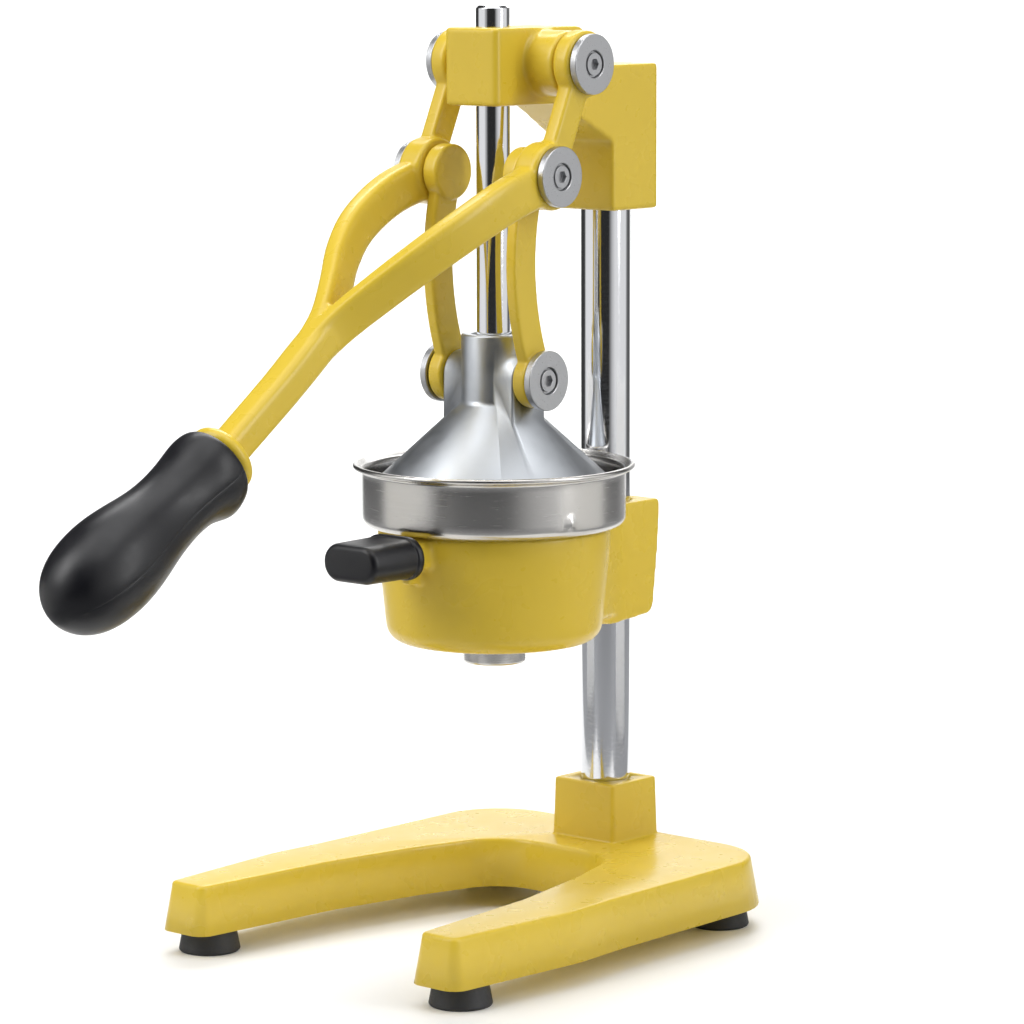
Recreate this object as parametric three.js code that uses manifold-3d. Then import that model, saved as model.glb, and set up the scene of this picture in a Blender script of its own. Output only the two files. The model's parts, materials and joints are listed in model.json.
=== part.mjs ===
// A manual lever citrus press. A forked lever turns on the head of a column and, through two links,
// drives a press cone down its guide rod on to a reamer that stands in a strainer pot.
// Millimetres, +Z up, +Y to the rear. While it is built, the juicing axis is X = 0, Y = 0 and the
// floor is Z = 0; the last lines move the whole press so that its origin is under its middle.

import * as THREE from 'three';
import { mergeVertices } from 'three/addons/utils/BufferGeometryUtils.js';
import Module from 'manifold-3d';

const wasm = await Module();
wasm.setup();

// ---------- Driving dimensions ----------

const gap = 0.3; // between two pieces that rest on each other
const slideFit = 0.4; // radial, round the guide rod in the head

// Stand
const columnOffset = 75.2; // juicing axis to column axis
const columnRadius = 10.9;
const footHeight = 10;
const footRadius = 13.2;
const footTopRadius = 11.6;
const baseThickness = 21;
const baseDraft = 3.4; // how far the side walls lean in over the thickness
const baseHalfWidth = 90; // at the widest place of the legs
const legTipWidth = 25.6;
const legReach = 121.4; // juicing axis to the front of the legs
const baseRear = 22; // column axis to the rear edge
const postWidth = 37;
const postDepth = 33.6;
const postHeight = 26;
const frontFeetAcross = 71.5;
const frontFeetBack = 17.8; // from the front of the legs
const rearFeetAcross = 66;
const rearFeetForward = 24; // from the rear edge
const footRecess = 6.4; // radius of the hollow for the foot screw's head
const footRecessDepth = 4;
const socketFloor = 8; // metal left under the column, in the base and over it in the head
const setScrewRadius = 3;
const setScrewLength = 7;
const setScrewSocket = 1.5;

// Bowl, spout and small grip
const bowlClearance = 128.7; // floor to the underside of the bowl
const bowlHeight = 49.8;
const bowlRadius = 50;
const bowlTaper = 3.4;
const bowlWall = 4.5;
const bowlFloor = 5;
const clampHalfWidth = 17.2; // the blocks that grip the column, on bowl and head
const clampWall = 5.2; // metal behind the column, at the least
const flareAngle = THREE.MathUtils.degToRad(40); // where the bowl starts to swell towards the block
const flareRadius = 40;
const spoutRadius = 13.5;
const spoutBore = 11;
const spoutDrop = 9.6; // below the bowl
const smallGripWidth = 32;
const smallGripHeight = 18.2;
const smallGripLength = 30;
const neckLength = 12; // from the bowl's side to the small grip
const neckWidth = 18;
const neckDepth = 11;
const stubTangWidth = 16; // the part of the stub inside the small grip
const stubTangDepth = 8;
const stubTangStop = 6; // left solid at the outer end of the small grip
const neckBelowTop = 6.8; // middle of the neck, below the top of the bowl

// Strainer pot and reamer
const potRadius = 56.5;
const potHeight = 29.2;
const potWall = 1.2;
const potStep = 2.4; // the floor drops this far into the bowl and centres the pot
const rimWidth = 4;
const reamerRadius = 35;
const reamerHeight = 36;
const drainHoles = 16;
const drainRadius = 2.4;

// Press cone and guide rod
const pressLift = 66.1; // pot underside to the lower pivots, with the press down
const bellRadius = 48.5;
const bellWall = 3;
const bellSkirt = 5;
const bellSlope = 0.916; // rise over run of the funnel
const hubRadius = 13.9;
const hubTop = 18.5; // above the lower pivots
const hubFoot = 10.8; // top of the funnel, below the lower pivots
const hubMouth = 2.3; // how much wider the mouth of the hub is than the rod
const hubMouthDepth = 5;
const rodFoot = -13.2; // end of the rod, from the lower pivots
const bellTop = -20.3; // underside of the hub, inside the bell
const lugRadius = 10.5;
const rodRadius = 7.2;
const rodStandsOut = 9.2; // above the head, with the press down

// Linkage, in the side view
const linkLength = 86.8;
const crankLength = 50.9; // head pivot to elbow pivot
const elbowForward = 4.1; // elbow pivot in front of the juicing axis
const headPivotBack = 17; // head pivot behind the juicing axis
const linkBulge = 7; // how far the links bow to the front
const linkWidth = 14;
const linkThickness = 5.5;
const linkEyeRadius = 12;

// Linkage, across: each layer starts one gap outside the last
const lugFace = 19.9;
const linkEyeLow = 7.2; // thickness of the link's lower eye
const linkEyeTop = 7.7;
const elbowEye = 12; // thickness of the lever's eye at the elbow
const headEye = 8.4; // and at the head
const leverEyeRadius = 14.3;

// Head
const headHalfWidth = 14.7;
const headFront = 14.8; // in front of the juicing axis
const headAbovePivot = 15.3;
const headBelowPivot = 17.5;
const headBossRadius = 14;
const headScrewDepth = 16; // how deep the pivot screws run into the bosses
const headNeck = 23; // where the head starts to widen, in front of the column clamp
const rearBlockHeight = 63.4;
const rearBlockDrop = 17; // its top, below the top of the front block

// Pivot hardware
const discRadius = 12.75;
const discThickness = 3.3;
const discRecess = 1.5; // depth of the seat for the screw's head
const screwRadius = 2.8;
const screwHeadRadius = 4.9;
const sleeveRadius = 6;

// Lever and large grip
const gripSlope = THREE.MathUtils.degToRad(30); // below level
const leverReach = 164.7; // elbow pivot forward to the outer face of the collar
const leverDrop = 108.2; // and down to it
const strapWidth = 12.5; // of the short arm between the head and elbow pivots
// One arm of the fork, from the elbow: shares of the eye's distance from the middle, of the reach
// and of the drop, then the width and height of its section.
const forkPath = [
  [1, -0.012, 0.009, 11, 18.5], [1.02, 0.146, 0.079, 11, 18], [0.91, 0.291, 0.185, 10, 17.5],
  [0.68, 0.401, 0.296, 9, 17.5], [0.385, 0.492, 0.411, 8, 17.5], [0.13, 0.583, 0.527, 7.6, 16.5],
  [0.03, 0.668, 0.628, 7.2, 15.6],
];
const barPath = [
  [0, 0.56, 0.505, 12.4, 15], [0, 0.668, 0.628, 14.4, 15.4], [0, 0.77, 0.749, 14.4, 15],
  [0, 0.883, 0.873, 14.2, 14.8], [0, 0.982, 0.98, 14, 14.6],
];
const collarRadius = 15;
const collarWidth = 7;
const tangRadius = 7;
const tangLength = 62;
const gripLength = 101.5;
// Outline of the large grip: share of its length, radius.
const gripOutline = [
  [0, 16], [0.014, 17.4], [0.05, 18.2], [0.1, 18.2], [0.15, 17.1], [0.21, 16.2], [0.3, 15.9],
  [0.375, 16.4], [0.455, 17.6], [0.54, 19.3], [0.62, 20.3], [0.69, 20.6], [0.77, 20.2],
  [0.845, 18.7], [0.91, 15.7], [0.96, 11], [0.99, 5.4], [1, 0],
];

// ---------- Places worked out from the dimensions ----------

const baseTop = footHeight + baseThickness;
const postTop = baseTop + postHeight;
const bowlTop = bowlClearance + bowlHeight;
const potBottom = bowlTop + gap - potStep;
const neckHeight = bowlTop - neckBelowTop;
const neckFront = -(bowlRadius + neckLength);

const lowerPivot = new THREE.Vector3(0, 0, potBottom + pressLift);
const elbowPivot = new THREE.Vector3(
  0, -elbowForward, lowerPivot.z + Math.sqrt(linkLength ** 2 - elbowForward ** 2),
);
const crankRun = elbowForward + headPivotBack;
const headPivot = new THREE.Vector3(
  0, headPivotBack, elbowPivot.z + Math.sqrt(crankLength ** 2 - crankRun ** 2),
);
const headTop = headPivot.z + headAbovePivot;
const headBottom = headPivot.z - headBelowPivot;
const rearBlockTop = headTop - rearBlockDrop;
const rearBlockBottom = rearBlockTop - rearBlockHeight;
const clampFront = columnOffset - clampHalfWidth + 1.5;
const clampRear = columnOffset + columnRadius + clampWall;

const linkInner = lugFace + gap + 0.1;
const linkEyeInner = linkInner - 1.8; // the top eye is thicker on its inner side
const linkEyeOuter = linkEyeInner + linkEyeTop;
const elbowInner = linkEyeOuter + gap;
const elbowOuter = elbowInner + elbowEye;
const headEyeInner = elbowOuter - headEye;
const bossFace = headEyeInner - gap;
const linkLowOuter = linkInner + linkEyeLow;

const baseSetScrewHeight = postTop - 10;
const bowlSetScrewHeight = bowlClearance + 28;
const headSetScrewHeight = rearBlockBottom + 20;
const elbow = elbowPivot.clone().sub(headPivot); // seen from the head pivot
const collarPlace = elbow.clone().add(new THREE.Vector3(0, -leverReach, -leverDrop));
const gripDirection = new THREE.Vector3(0, -Math.cos(gripSlope), -Math.sin(gripSlope));

// ---------- Shape helpers ----------

// A closed mesh as a solid for joining and cutting, its faces turned outwards.
function toSolid(geometry) {
  const bare = new THREE.BufferGeometry();
  bare.setAttribute('position', geometry.getAttribute('position').clone());
  if (geometry.index) bare.setIndex(geometry.index.clone());
  const merged = mergeVertices(bare, 1e-4);
  const positions = merged.getAttribute('position').array;
  const corner = (i) => new THREE.Vector3().fromArray(positions, 3 * i);
  const triangles = [];
  let volume = 0;
  for (let i = 0; i < merged.index.count; i += 3) {
    const [a, b, c] = merged.index.array.slice(i, i + 3);
    if (a === b || b === c || c === a) continue;
    triangles.push([a, b, c]);
    volume += corner(a).dot(corner(b).cross(corner(c)));
  }
  const outward = volume > 0 ? triangles : triangles.map(([a, b, c]) => [a, c, b]);
  return new wasm.Manifold(new wasm.Mesh({
    numProp: 3,
    vertProperties: new Float32Array(positions),
    triVerts: new Uint32Array(outward.flat()),
  }));
}

function toGeometry(solid) {
  const mesh = solid.getMesh();
  const geometry = new THREE.BufferGeometry();
  geometry.setAttribute('position', new THREE.BufferAttribute(mesh.vertProperties, 3));
  geometry.setIndex(new THREE.BufferAttribute(mesh.triVerts, 1));
  geometry.computeVertexNormals();
  return geometry;
}

function join(...geometries) {
  return toGeometry(geometries.map(toSolid).reduce((all, next) => all.add(next)));
}

function cut(body, ...tools) {
  return toGeometry(tools.map(toSolid).reduce((left, tool) => left.subtract(tool), toSolid(body)));
}

function common(a, b) {
  return toGeometry(toSolid(a).intersect(toSolid(b)));
}

function mirroredX(geometry) {
  return geometry.clone().applyMatrix4(new THREE.Matrix4().makeScale(-1, 1, 1));
}

// Rounds each corner [x, y, radius] of a counter-clockwise outline with an arc.
function rounded(corners, steps = 2) {
  const count = corners.length;
  return corners.flatMap(([x, y, radius = 0], i) => {
    const corner = new THREE.Vector2(x, y);
    if (!radius) return [corner];
    const [xBefore, yBefore] = corners[(i + count - 1) % count];
    const [xAfter, yAfter] = corners[(i + 1) % count];
    const toBefore = new THREE.Vector2(xBefore, yBefore).sub(corner).normalize();
    const toAfter = new THREE.Vector2(xAfter, yAfter).sub(corner).normalize();
    const half = Math.acos(toBefore.dot(toAfter)) / 2;
    const centre = toBefore.clone().add(toAfter).normalize()
      .multiplyScalar(radius / Math.sin(half)).add(corner);
    const start = toBefore.clone().multiplyScalar(radius / Math.tan(half)).add(corner);
    const turn = Math.sign(toAfter.cross(toBefore)) * (Math.PI - 2 * half);
    return Array.from({ length: steps + 1 }, (_, k) => (
      start.clone().rotateAround(centre, (turn * k) / steps)));
  });
}

// The outline moved inwards by a distance, each corner along its mitre.
function inset(outline, distance) {
  const count = outline.length;
  return outline.map((point, i) => {
    const along = point.clone().sub(outline[(i + count - 1) % count]).normalize();
    const onward = outline[(i + 1) % count].clone().sub(point).normalize();
    const mitre = new THREE.Vector2(-along.y - onward.y, along.x + onward.x).normalize();
    const cosine = mitre.x * -along.y + mitre.y * along.x;
    return mitre.multiplyScalar(distance / cosine).add(point);
  });
}

// A solid skinned over rings, each an outline with the same number of points in its own frame.
function loft(rings) {
  const count = rings[0].outline.length;
  const positions = rings.flatMap(({ outline, frame }) => outline.flatMap((p) => (
    new THREE.Vector3(p.x, p.y, 0).applyMatrix4(frame).toArray())));
  const index = [];
  for (let ring = 0; ring + 1 < rings.length; ring += 1) {
    for (let i = 0; i < count; i += 1) {
      const a = ring * count + i;
      const b = ring * count + ((i + 1) % count);
      index.push(a, b, b + count, a, b + count, a + count);
    }
  }
  const last = (rings.length - 1) * count;
  THREE.ShapeUtils.triangulateShape(rings[0].outline, []).forEach(([a, b, c]) => {
    index.push(c, b, a);
  });
  THREE.ShapeUtils.triangulateShape(rings.at(-1).outline, []).forEach(([a, b, c]) => {
    index.push(last + a, last + b, last + c);
  });
  const geometry = new THREE.BufferGeometry();
  geometry.setAttribute('position', new THREE.Float32BufferAttribute(positions, 3));
  geometry.setIndex(index);
  return geometry;
}

// A block rising through levels [height, inset], as a drafted casting does.
function casting(outline, levels) {
  return loft(levels.map(([height, shrink]) => ({
    outline: inset(outline, shrink),
    frame: new THREE.Matrix4().makeTranslation(0, 0, height),
  })));
}

// Turns a casting so that its outline lies in the side view (Y, Z) and its height runs along +X.
function sideways(geometry) {
  const basis = new THREE.Matrix4().makeBasis(
    new THREE.Vector3(0, 1, 0), new THREE.Vector3(0, 0, 1), new THREE.Vector3(1, 0, 0),
  );
  return geometry.applyMatrix4(basis);
}

// A solid of revolution about Z, from a profile of [radius, height].
function turned(profile, segments = 36) {
  const points = profile.map(([radius, height]) => new THREE.Vector2(radius, height));
  return new THREE.LatheGeometry(points, segments).rotateX(Math.PI / 2);
}

function cylinder(radius, from, to, segments = 16) {
  return new THREE.CylinderGeometry(radius, radius, to - from, segments)
    .rotateX(Math.PI / 2).translate(0, 0, (from + to) / 2);
}

function chamferedRod(radius, from, to, chamfer, segments = 24) {
  return turned([
    [0, from], [radius - chamfer, from], [radius, from + chamfer],
    [radius, to - chamfer], [radius - chamfer, to], [0, to],
  ], segments);
}

// A cylinder along X, at a place in the side view.
function crossPin(radius, from, to, y = 0, z = 0, segments = 20) {
  return cylinder(radius, from, to, segments).rotateY(Math.PI / 2).translate(0, y, z);
}

// A cylinder along Y, for the set screws and their holes.
function rearHole(radius, from, to, z, segments = 10) {
  return cylinder(radius, from, to, segments).rotateX(-Math.PI / 2).translate(0, 0, z);
}

// A round piece with a softened outer edge, its axis along X.
function softEye(radius, from, to, y, z, soften = 1) {
  return turned([
    [0, from], [radius - soften, from], [radius, from + soften],
    [radius, to - soften], [radius - soften, to], [0, to],
  ], 24).rotateY(Math.PI / 2).translate(0, y, z);
}

// Sweeps a section along a curve with its width kept level across the press.
function sweep(curve, sections) {
  const across = new THREE.Vector3(1, 0, 0);
  return loft(sections.map(([t, outline]) => {
    const tangent = curve.getTangent(t);
    const side = across.clone().addScaledVector(tangent, -across.dot(tangent)).normalize();
    const up = tangent.clone().cross(side);
    const frame = new THREE.Matrix4().makeBasis(side, up, tangent).setPosition(curve.getPoint(t));
    return { outline, frame };
  }));
}

function barSection(width, height, radius, steps = 1) {
  const [w, h] = [width / 2, height / 2];
  return rounded([[w, -h, radius], [w, h, radius], [-w, h, radius], [-w, -h, radius]], steps);
}

// ---------- Stand ----------

const footPlaces = {
  front_left: [-frontFeetAcross, frontFeetBack - legReach],
  front_right: [frontFeetAcross, frontFeetBack - legReach],
  rear_left: [-rearFeetAcross, columnOffset + baseRear - rearFeetForward],
  rear_right: [rearFeetAcross, columnOffset + baseRear - rearFeetForward],
};

function baseOutline() {
  const rear = columnOffset + baseRear;
  const throat = columnOffset - postDepth / 2 - 20; // rear end of the gap between the legs
  const tipOuter = baseHalfWidth - 5.7;
  const half = [
    [30, throat, 22], [42.4, throat - 40, 50], [52, throat - 86, 80],
    [tipOuter - legTipWidth, -legReach, 6.5], [tipOuter, -legReach, 6.5],
    [baseHalfWidth, -50, 120], [baseHalfWidth - 2, -22, 120], [baseHalfWidth - 3.6, rear, 34],
  ];
  const otherHalf = half.map(([x, y, radius]) => [-x, y, radius]).reverse();
  return rounded([...half, ...otherHalf], 3);
}

function postOutline() {
  const [w, front, rear] = [postWidth / 2, columnOffset - postDepth / 2, columnOffset + postDepth / 2];
  return rounded([[w, front, 3.4], [w, rear, 3.4], [-w, rear, 3.4], [-w, front, 3.4]]);
}

function baseCasting() {
  const legs = casting(baseOutline(), [
    [footHeight, 0], [baseTop - 1.6, baseDraft], [baseTop, baseDraft + 1.8],
  ]);
  const post = casting(postOutline(), [[footHeight + 4, 0], [postTop - 1, 1.4], [postTop, 2.2]]);
  const socket = cylinder(columnRadius + gap, footHeight + socketFloor, postTop + 1, 24)
    .translate(0, columnOffset, 0);
  const footHoles = Object.values(footPlaces).map(([x, y]) => (
    cylinder(screwRadius + gap, footHeight - 1, footHeight + 13, 12).translate(x, y, 0)));
  return cut(join(legs, post), socket, ...footHoles,
    rearHole(setScrewRadius + gap, columnOffset, columnOffset + postDepth, baseSetScrewHeight));
}

function foot() {
  return turned([
    [screwRadius + gap, footHeight - gap], [footTopRadius, footHeight - gap],
    [footRadius, 1.2], [footRadius - 0.8, 0], [footRecess, 0], [footRecess, footRecessDepth],
    [screwRadius + gap, footRecessDepth],
    [screwRadius + gap, footHeight - gap],
  ], 20);
}

function footScrew() {
  return turned([
    [0, 0.9], [4.4, 0.9], [5.2, 1.7], [5.2, footRecessDepth - gap],
    [screwRadius, footRecessDepth - gap],
    [screwRadius, footHeight + 11], [0, footHeight + 12],
  ], 12);
}

// A socket set screw along Y, its cup point one gap behind the column.
function setScrew() {
  const start = columnOffset + columnRadius + gap;
  const body = rearHole(setScrewRadius, start, start + setScrewLength, 0, 10);
  const socket = rearHole(setScrewSocket, start + setScrewLength - 2.4, start + setScrewLength + 1, 0, 6);
  return cut(body, socket);
}

function column() {
  return chamferedRod(columnRadius, footHeight + socketFloor + gap, rearBlockTop - socketFloor, 1);
}

// ---------- Bowl, small grip and spout ----------

function bowlClamp() {
  const top = bowlTop + 3.5;
  const low = bowlClearance + 0.6;
  const plan = rounded([
    [-clampHalfWidth, 30], [clampHalfWidth, 30],
    [clampHalfWidth, clampRear + 3, 4], [-clampHalfWidth, clampRear + 3, 4],
  ]);
  const potClear = potRadius + rimWidth;
  const side = rounded([
    [30, low + 3], [potClear, low, 4], [clampRear - 3.2, low + 2, 5], [clampRear + 3, top, 3],
    [potClear, top, 1.5], [potClear, bowlTop - 4], [30, bowlTop - 4],
  ]);
  return common(
    casting(plan, [[low - 5, 0], [top + 5, 0]]),
    sideways(casting(side, [[-clampHalfWidth, 1.2], [1.2 - clampHalfWidth, 0],
      [clampHalfWidth - 1.2, 0], [clampHalfWidth, 1.2]])),
  );
}

// The bowl's wall swelling out, hollow-sided, to meet the block behind it.
function bowlFlare() {
  const wall = bowlRadius - 0.4;
  const start = [wall * Math.sin(flareAngle), wall * Math.cos(flareAngle)];
  const corner = (wall - clampHalfWidth * Math.sin(flareAngle)) / Math.cos(flareAngle);
  const end = corner + flareRadius * Math.tan(Math.PI / 4 - flareAngle / 2) + 3;
  const plan = rounded([
    [-start[0], start[1]], start, [clampHalfWidth, corner, flareRadius], [clampHalfWidth, end],
    [-clampHalfWidth, end], [-clampHalfWidth, corner, flareRadius],
  ], 4);
  return casting(plan, [
    [bowlClearance + 4.5, bowlTaper + 1.5], [bowlClearance + 8, bowlTaper],
    [bowlTop - 8, 0], [bowlTop - 4, 0],
  ]);
}

function stubSection(width, height) {
  return barSection(width, height, height / 2 - 0.8, 2);
}

// The stub for the small grip: a neck, a rib under it and a thinner tang inside the grip.
function bowlStub() {
  const along = (outline, from, to) => casting(outline, [[from, 0], [to, 0]])
    .rotateX(Math.PI / 2).translate(0, 0, neckHeight);
  return join(
    along(barSection(neckWidth, neckDepth, 3), bowlRadius - 6, -neckFront - gap),
    along(barSection(stubTangWidth, stubTangDepth, 2), bowlRadius,
      smallGripLength - neckFront - stubTangStop - 1),
    along(barSection(5, 7, 1), bowlRadius - 6, -neckFront - 7).translate(0, 0, -7.5),
  );
}

function bowlCasting() {
  const inner = bowlRadius - bowlWall;
  const outside = turned([
    [0, bowlClearance], [bowlRadius - bowlTaper - 7, bowlClearance],
    [bowlRadius - bowlTaper - 3, bowlClearance + 1.2],
    [bowlRadius - bowlTaper - 0.8, bowlClearance + 4], [bowlRadius - bowlTaper, bowlClearance + 8],
    [bowlRadius, bowlTop - 8], [bowlRadius, bowlTop], [0, bowlTop],
  ], 36);
  const hollow = turned([
    [0, bowlClearance + bowlFloor], [spoutRadius + 3, bowlClearance + bowlFloor],
    [inner - bowlTaper - 6, bowlClearance + bowlFloor + 2],
    [inner - bowlTaper - 1, bowlClearance + bowlFloor + 7],
    [inner, bowlTop - 8], [inner, bowlTop + 10], [0, bowlTop + 10],
  ], 36);
  return cut(
    join(outside, bowlClamp(), bowlFlare(), bowlStub()), hollow,
    cylinder(spoutRadius + gap, bowlClearance - 1, bowlTop, 24),
    cylinder(columnRadius + gap, bowlClearance - 1, bowlTop + 10, 24).translate(0, columnOffset, 0),
    rearHole(setScrewRadius + gap, columnOffset, columnOffset + 40, bowlSetScrewHeight),
  );
}

function smallGrip() {
  const body = casting(stubSection(smallGripWidth, smallGripHeight), [
    [0, 1.5], [1, 0], [3.6, 0], [4.6, 1], [smallGripLength - 2, 1], [smallGripLength - 0.5, 2],
    [smallGripLength, 3.2],
  ]);
  const pocket = casting(barSection(stubTangWidth + 2 * gap, stubTangDepth + 2 * gap, 2), [
    [-1, 0], [smallGripLength - stubTangStop, 0],
  ]);
  return cut(body, pocket).rotateX(Math.PI / 2).translate(0, neckFront, neckHeight);
}

function spout() {
  const bottom = bowlClearance - spoutDrop;
  const seat = bowlClearance + bowlFloor + gap;
  return turned([
    [spoutBore, bottom], [spoutRadius - 0.8, bottom],
    [spoutRadius, bottom + 0.8], [spoutRadius, seat], [spoutRadius + 2.5, seat],
    [spoutRadius + 2.5, seat + 1.2], [spoutBore, seat + 1.2], [spoutBore, bottom],
  ], 24);
}

// ---------- Strainer pot and reamer ----------

function pot() {
  const step = bowlRadius - bowlWall - 0.7;
  const [r, w, top] = [potRadius, potWall, potHeight];
  const wall = turned([
    [0, 0], [step, 0], [step, potStep], [r - 4, potStep], [r - 1.2, potStep + 1.2],
    [r, potStep + 4], [r, top - 3], [r + rimWidth - 0.4, top - 1.9], [r + rimWidth, top - 1],
    [r + rimWidth - 0.6, top], [r - w, top - 1.8], [r - w, potStep + 4], [r - 4.4, potStep + w],
    [step - w, potStep + w], [step - w, w], [0, w],
  ], 36);
  const holes = Array.from({ length: drainHoles }, (_, i) => (
    cylinder(drainRadius, -1, 3, 6).translate((reamerRadius + step) / 2, 0, 0)
      .rotateZ((2 * Math.PI * i) / drainHoles)));
  return cut(wall, ...holes).translate(0, 0, potBottom);
}

// A domed cone with eight flutes, hollow underneath.
function reamer() {
  const flutes = 8;
  const points = flutes * 4;
  const lobed = (radius, depth) => Array.from({ length: points }, (_, i) => {
    const angle = (2 * Math.PI * i) / points;
    const reach = radius - depth * (1 - Math.abs(Math.cos((flutes * angle) / 2)));
    return new THREE.Vector2(reach * Math.cos(angle), reach * Math.sin(angle));
  });
  const levels = [[0, 1, 0], [0.06, 1, 0], [0.07, 0.93, 0.1], [0.35, 0.72, 0.14],
    [0.7, 0.38, 0.1], [0.94, 0.1, 0.01], [1, 0.02, 0]];
  const dome = loft(levels.map(([height, radius, depth]) => ({
    outline: lobed(reamerRadius * radius, reamerRadius * depth),
    frame: new THREE.Matrix4().makeTranslation(0, 0, reamerHeight * height),
  })));
  const hollow = turned([[0, -1], [reamerRadius * 0.72, -1], [reamerRadius * 0.42, 15], [0, 24]], 24);
  return cut(dome, hollow).translate(0, 0, potBottom + potWall + gap);
}

// ---------- Head ----------

function headCasting() {
  const front = -headFront;
  const plan = rounded([
    [-headHalfWidth, front, 2.4], [headHalfWidth, front, 2.4], [headHalfWidth, clampFront - headNeck, 30],
    [clampHalfWidth, clampFront, 30], [clampHalfWidth, clampRear, 3],
    [-clampHalfWidth, clampRear, 3], [-clampHalfWidth, clampFront, 30],
    [-headHalfWidth, clampFront - headNeck, 30],
  ]);
  const gussetLow = headBottom - headBelowPivot;
  const side = rounded([
    [front, headBottom, 1.6], [clampFront - 31, headBottom, 3], [clampFront, gussetLow, 4],
    [clampFront, rearBlockBottom, 2], [clampRear, rearBlockBottom, 2], [clampRear, rearBlockTop, 3],
    [clampFront - 4, rearBlockTop, 4], [clampFront - 20, headTop, 4], [front, headTop, 1.6],
  ]);
  const body = common(
    casting(plan, [[rearBlockBottom - 1, 0], [headTop + 1, 0]]),
    sideways(casting(side, [[-clampHalfWidth, 1], [1 - clampHalfWidth, 0],
      [clampHalfWidth - 1, 0], [clampHalfWidth, 1]])),
  );
  const boss = softEye(headBossRadius, -bossFace, bossFace, headPivot.y, headPivot.z, 0.8);
  const screwHole = crossPin(
    screwRadius + gap, bossFace - headScrewDepth - 1, bossFace + 1, headPivot.y, headPivot.z, 16,
  );
  return cut(
    join(body, boss), screwHole, mirroredX(screwHole),
    cylinder(rodRadius + slideFit, headBottom - 30, headTop + 1, 24),
    cylinder(columnRadius + gap, rearBlockBottom - 1, rearBlockTop - socketFloor + gap, 24)
      .translate(0, columnOffset, 0),
    rearHole(setScrewRadius + gap, columnOffset, columnOffset + 40, headSetScrewHeight),
  );
}

// ---------- Pivot hardware, each along +Z from the inner end of its own sleeve ----------

function pivotDisc() {
  const bore = screwRadius + gap;
  const recess = screwHeadRadius + gap;
  return turned([
    [bore, 0], [discRadius, 0], [discRadius, discThickness - 0.4],
    [discRadius - 0.4, discThickness], [recess, discThickness],
    [recess, discThickness - discRecess], [bore, discThickness - discRecess], [bore, 0],
  ], 24);
}

function pivotSleeve(length) {
  const bore = screwRadius + gap;
  return turned([[bore, 0], [sleeveRadius, 0], [sleeveRadius, length], [bore, length], [bore, 0]], 16);
}

// A socket screw with a low head; the origin is under the head and the shank runs along -Z.
function pivotScrew(shank) {
  const body = turned([
    [0, -shank], [screwRadius - 0.6, -shank], [screwRadius, 0.6 - shank], [screwRadius, 0],
    [screwHeadRadius, 0], [screwHeadRadius, 1.2], [0, 1.2],
  ], 16);
  return cut(body, cylinder(2.1, -1, 2, 6));
}

// ---------- Links, from the elbow pivot at the origin down to the lower pivot ----------

function link() {
  const drop = lowerPivot.clone().sub(elbowPivot);
  const middle = drop.clone().multiplyScalar(0.52).add(new THREE.Vector3(0, -linkBulge, 0));
  const across = (linkInner + linkLowOuter) / 2 - 0.6;
  const curve = new THREE.QuadraticBezierCurve3(
    new THREE.Vector3(across, 0, -4), middle.clone().setX(across).add(new THREE.Vector3(0, -linkBulge, 0)),
    new THREE.Vector3(across, drop.y, drop.z + 4),
  );
  const section = barSection(linkThickness, linkWidth, 1.3);
  const bar = sweep(curve, Array.from({ length: 8 }, (_, i) => [i / 7, section]));
  const topEye = softEye(linkEyeRadius, linkEyeInner, linkEyeOuter, 0, 0);
  const lowEye = softEye(linkEyeRadius, linkInner, linkLowOuter, drop.y, drop.z);
  return cut(
    join(bar, topEye, lowEye),
    crossPin(screwRadius + gap, linkEyeInner + 1.8, linkEyeOuter + 1, 0, 0, 16),
    crossPin(sleeveRadius + gap, linkInner - 1, linkLowOuter + 1, drop.y, drop.z, 24),
  );
}

// ---------- Lever, with the head pivot at the origin ----------

// Places a piece made along +Z on the lever's bar, a distance past the collar.
function onBar(geometry, distance) {
  const turn = new THREE.Quaternion().setFromUnitVectors(new THREE.Vector3(0, 0, 1), gripDirection);
  const place = collarPlace.clone().addScaledVector(gripDirection, distance);
  return geometry.applyQuaternion(turn).translate(place.x, place.y, place.z);
}

// A tapering bar through the stations of a path, from the elbow towards the collar.
function pathBar(path, across) {
  const curve = new THREE.CatmullRomCurve3(path.map(([x, reach, drop]) => (
    new THREE.Vector3(across * x, -leverReach * reach, -leverDrop * drop).add(elbow))));
  const spans = path.length - 1;
  return sweep(curve, Array.from({ length: 2 * spans + 1 }, (_, i) => {
    const [, , , w, h] = path[Math.floor(i / 2)];
    const [, , , nextW, nextH] = path[Math.ceil(i / 2)];
    return [i / (2 * spans), barSection((w + nextW) / 2, (h + nextH) / 2, 3.4)];
  }));
}

function leverSide() {
  const reach = elbow.length();
  const lean = Math.atan2(-elbow.y, -elbow.z);
  const strap = casting(barSection(reach, strapWidth, 1), [
    [headEyeInner, 1.2], [headEyeInner + 1.2, 0],
    [elbowOuter - 1.2, 0], [elbowOuter, 1.2]]);
  const placedStrap = sideways(strap.rotateZ(Math.PI / 2 - lean)).translate(0, elbow.y / 2, elbow.z / 2);
  return join(
    softEye(leverEyeRadius, headEyeInner, elbowOuter, 0, 0, 1.2), placedStrap,
    softEye(leverEyeRadius, elbowInner, elbowOuter, elbow.y, elbow.z, 1.2),
    pathBar(forkPath, (elbowInner + elbowOuter) / 2),
  );
}

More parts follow.
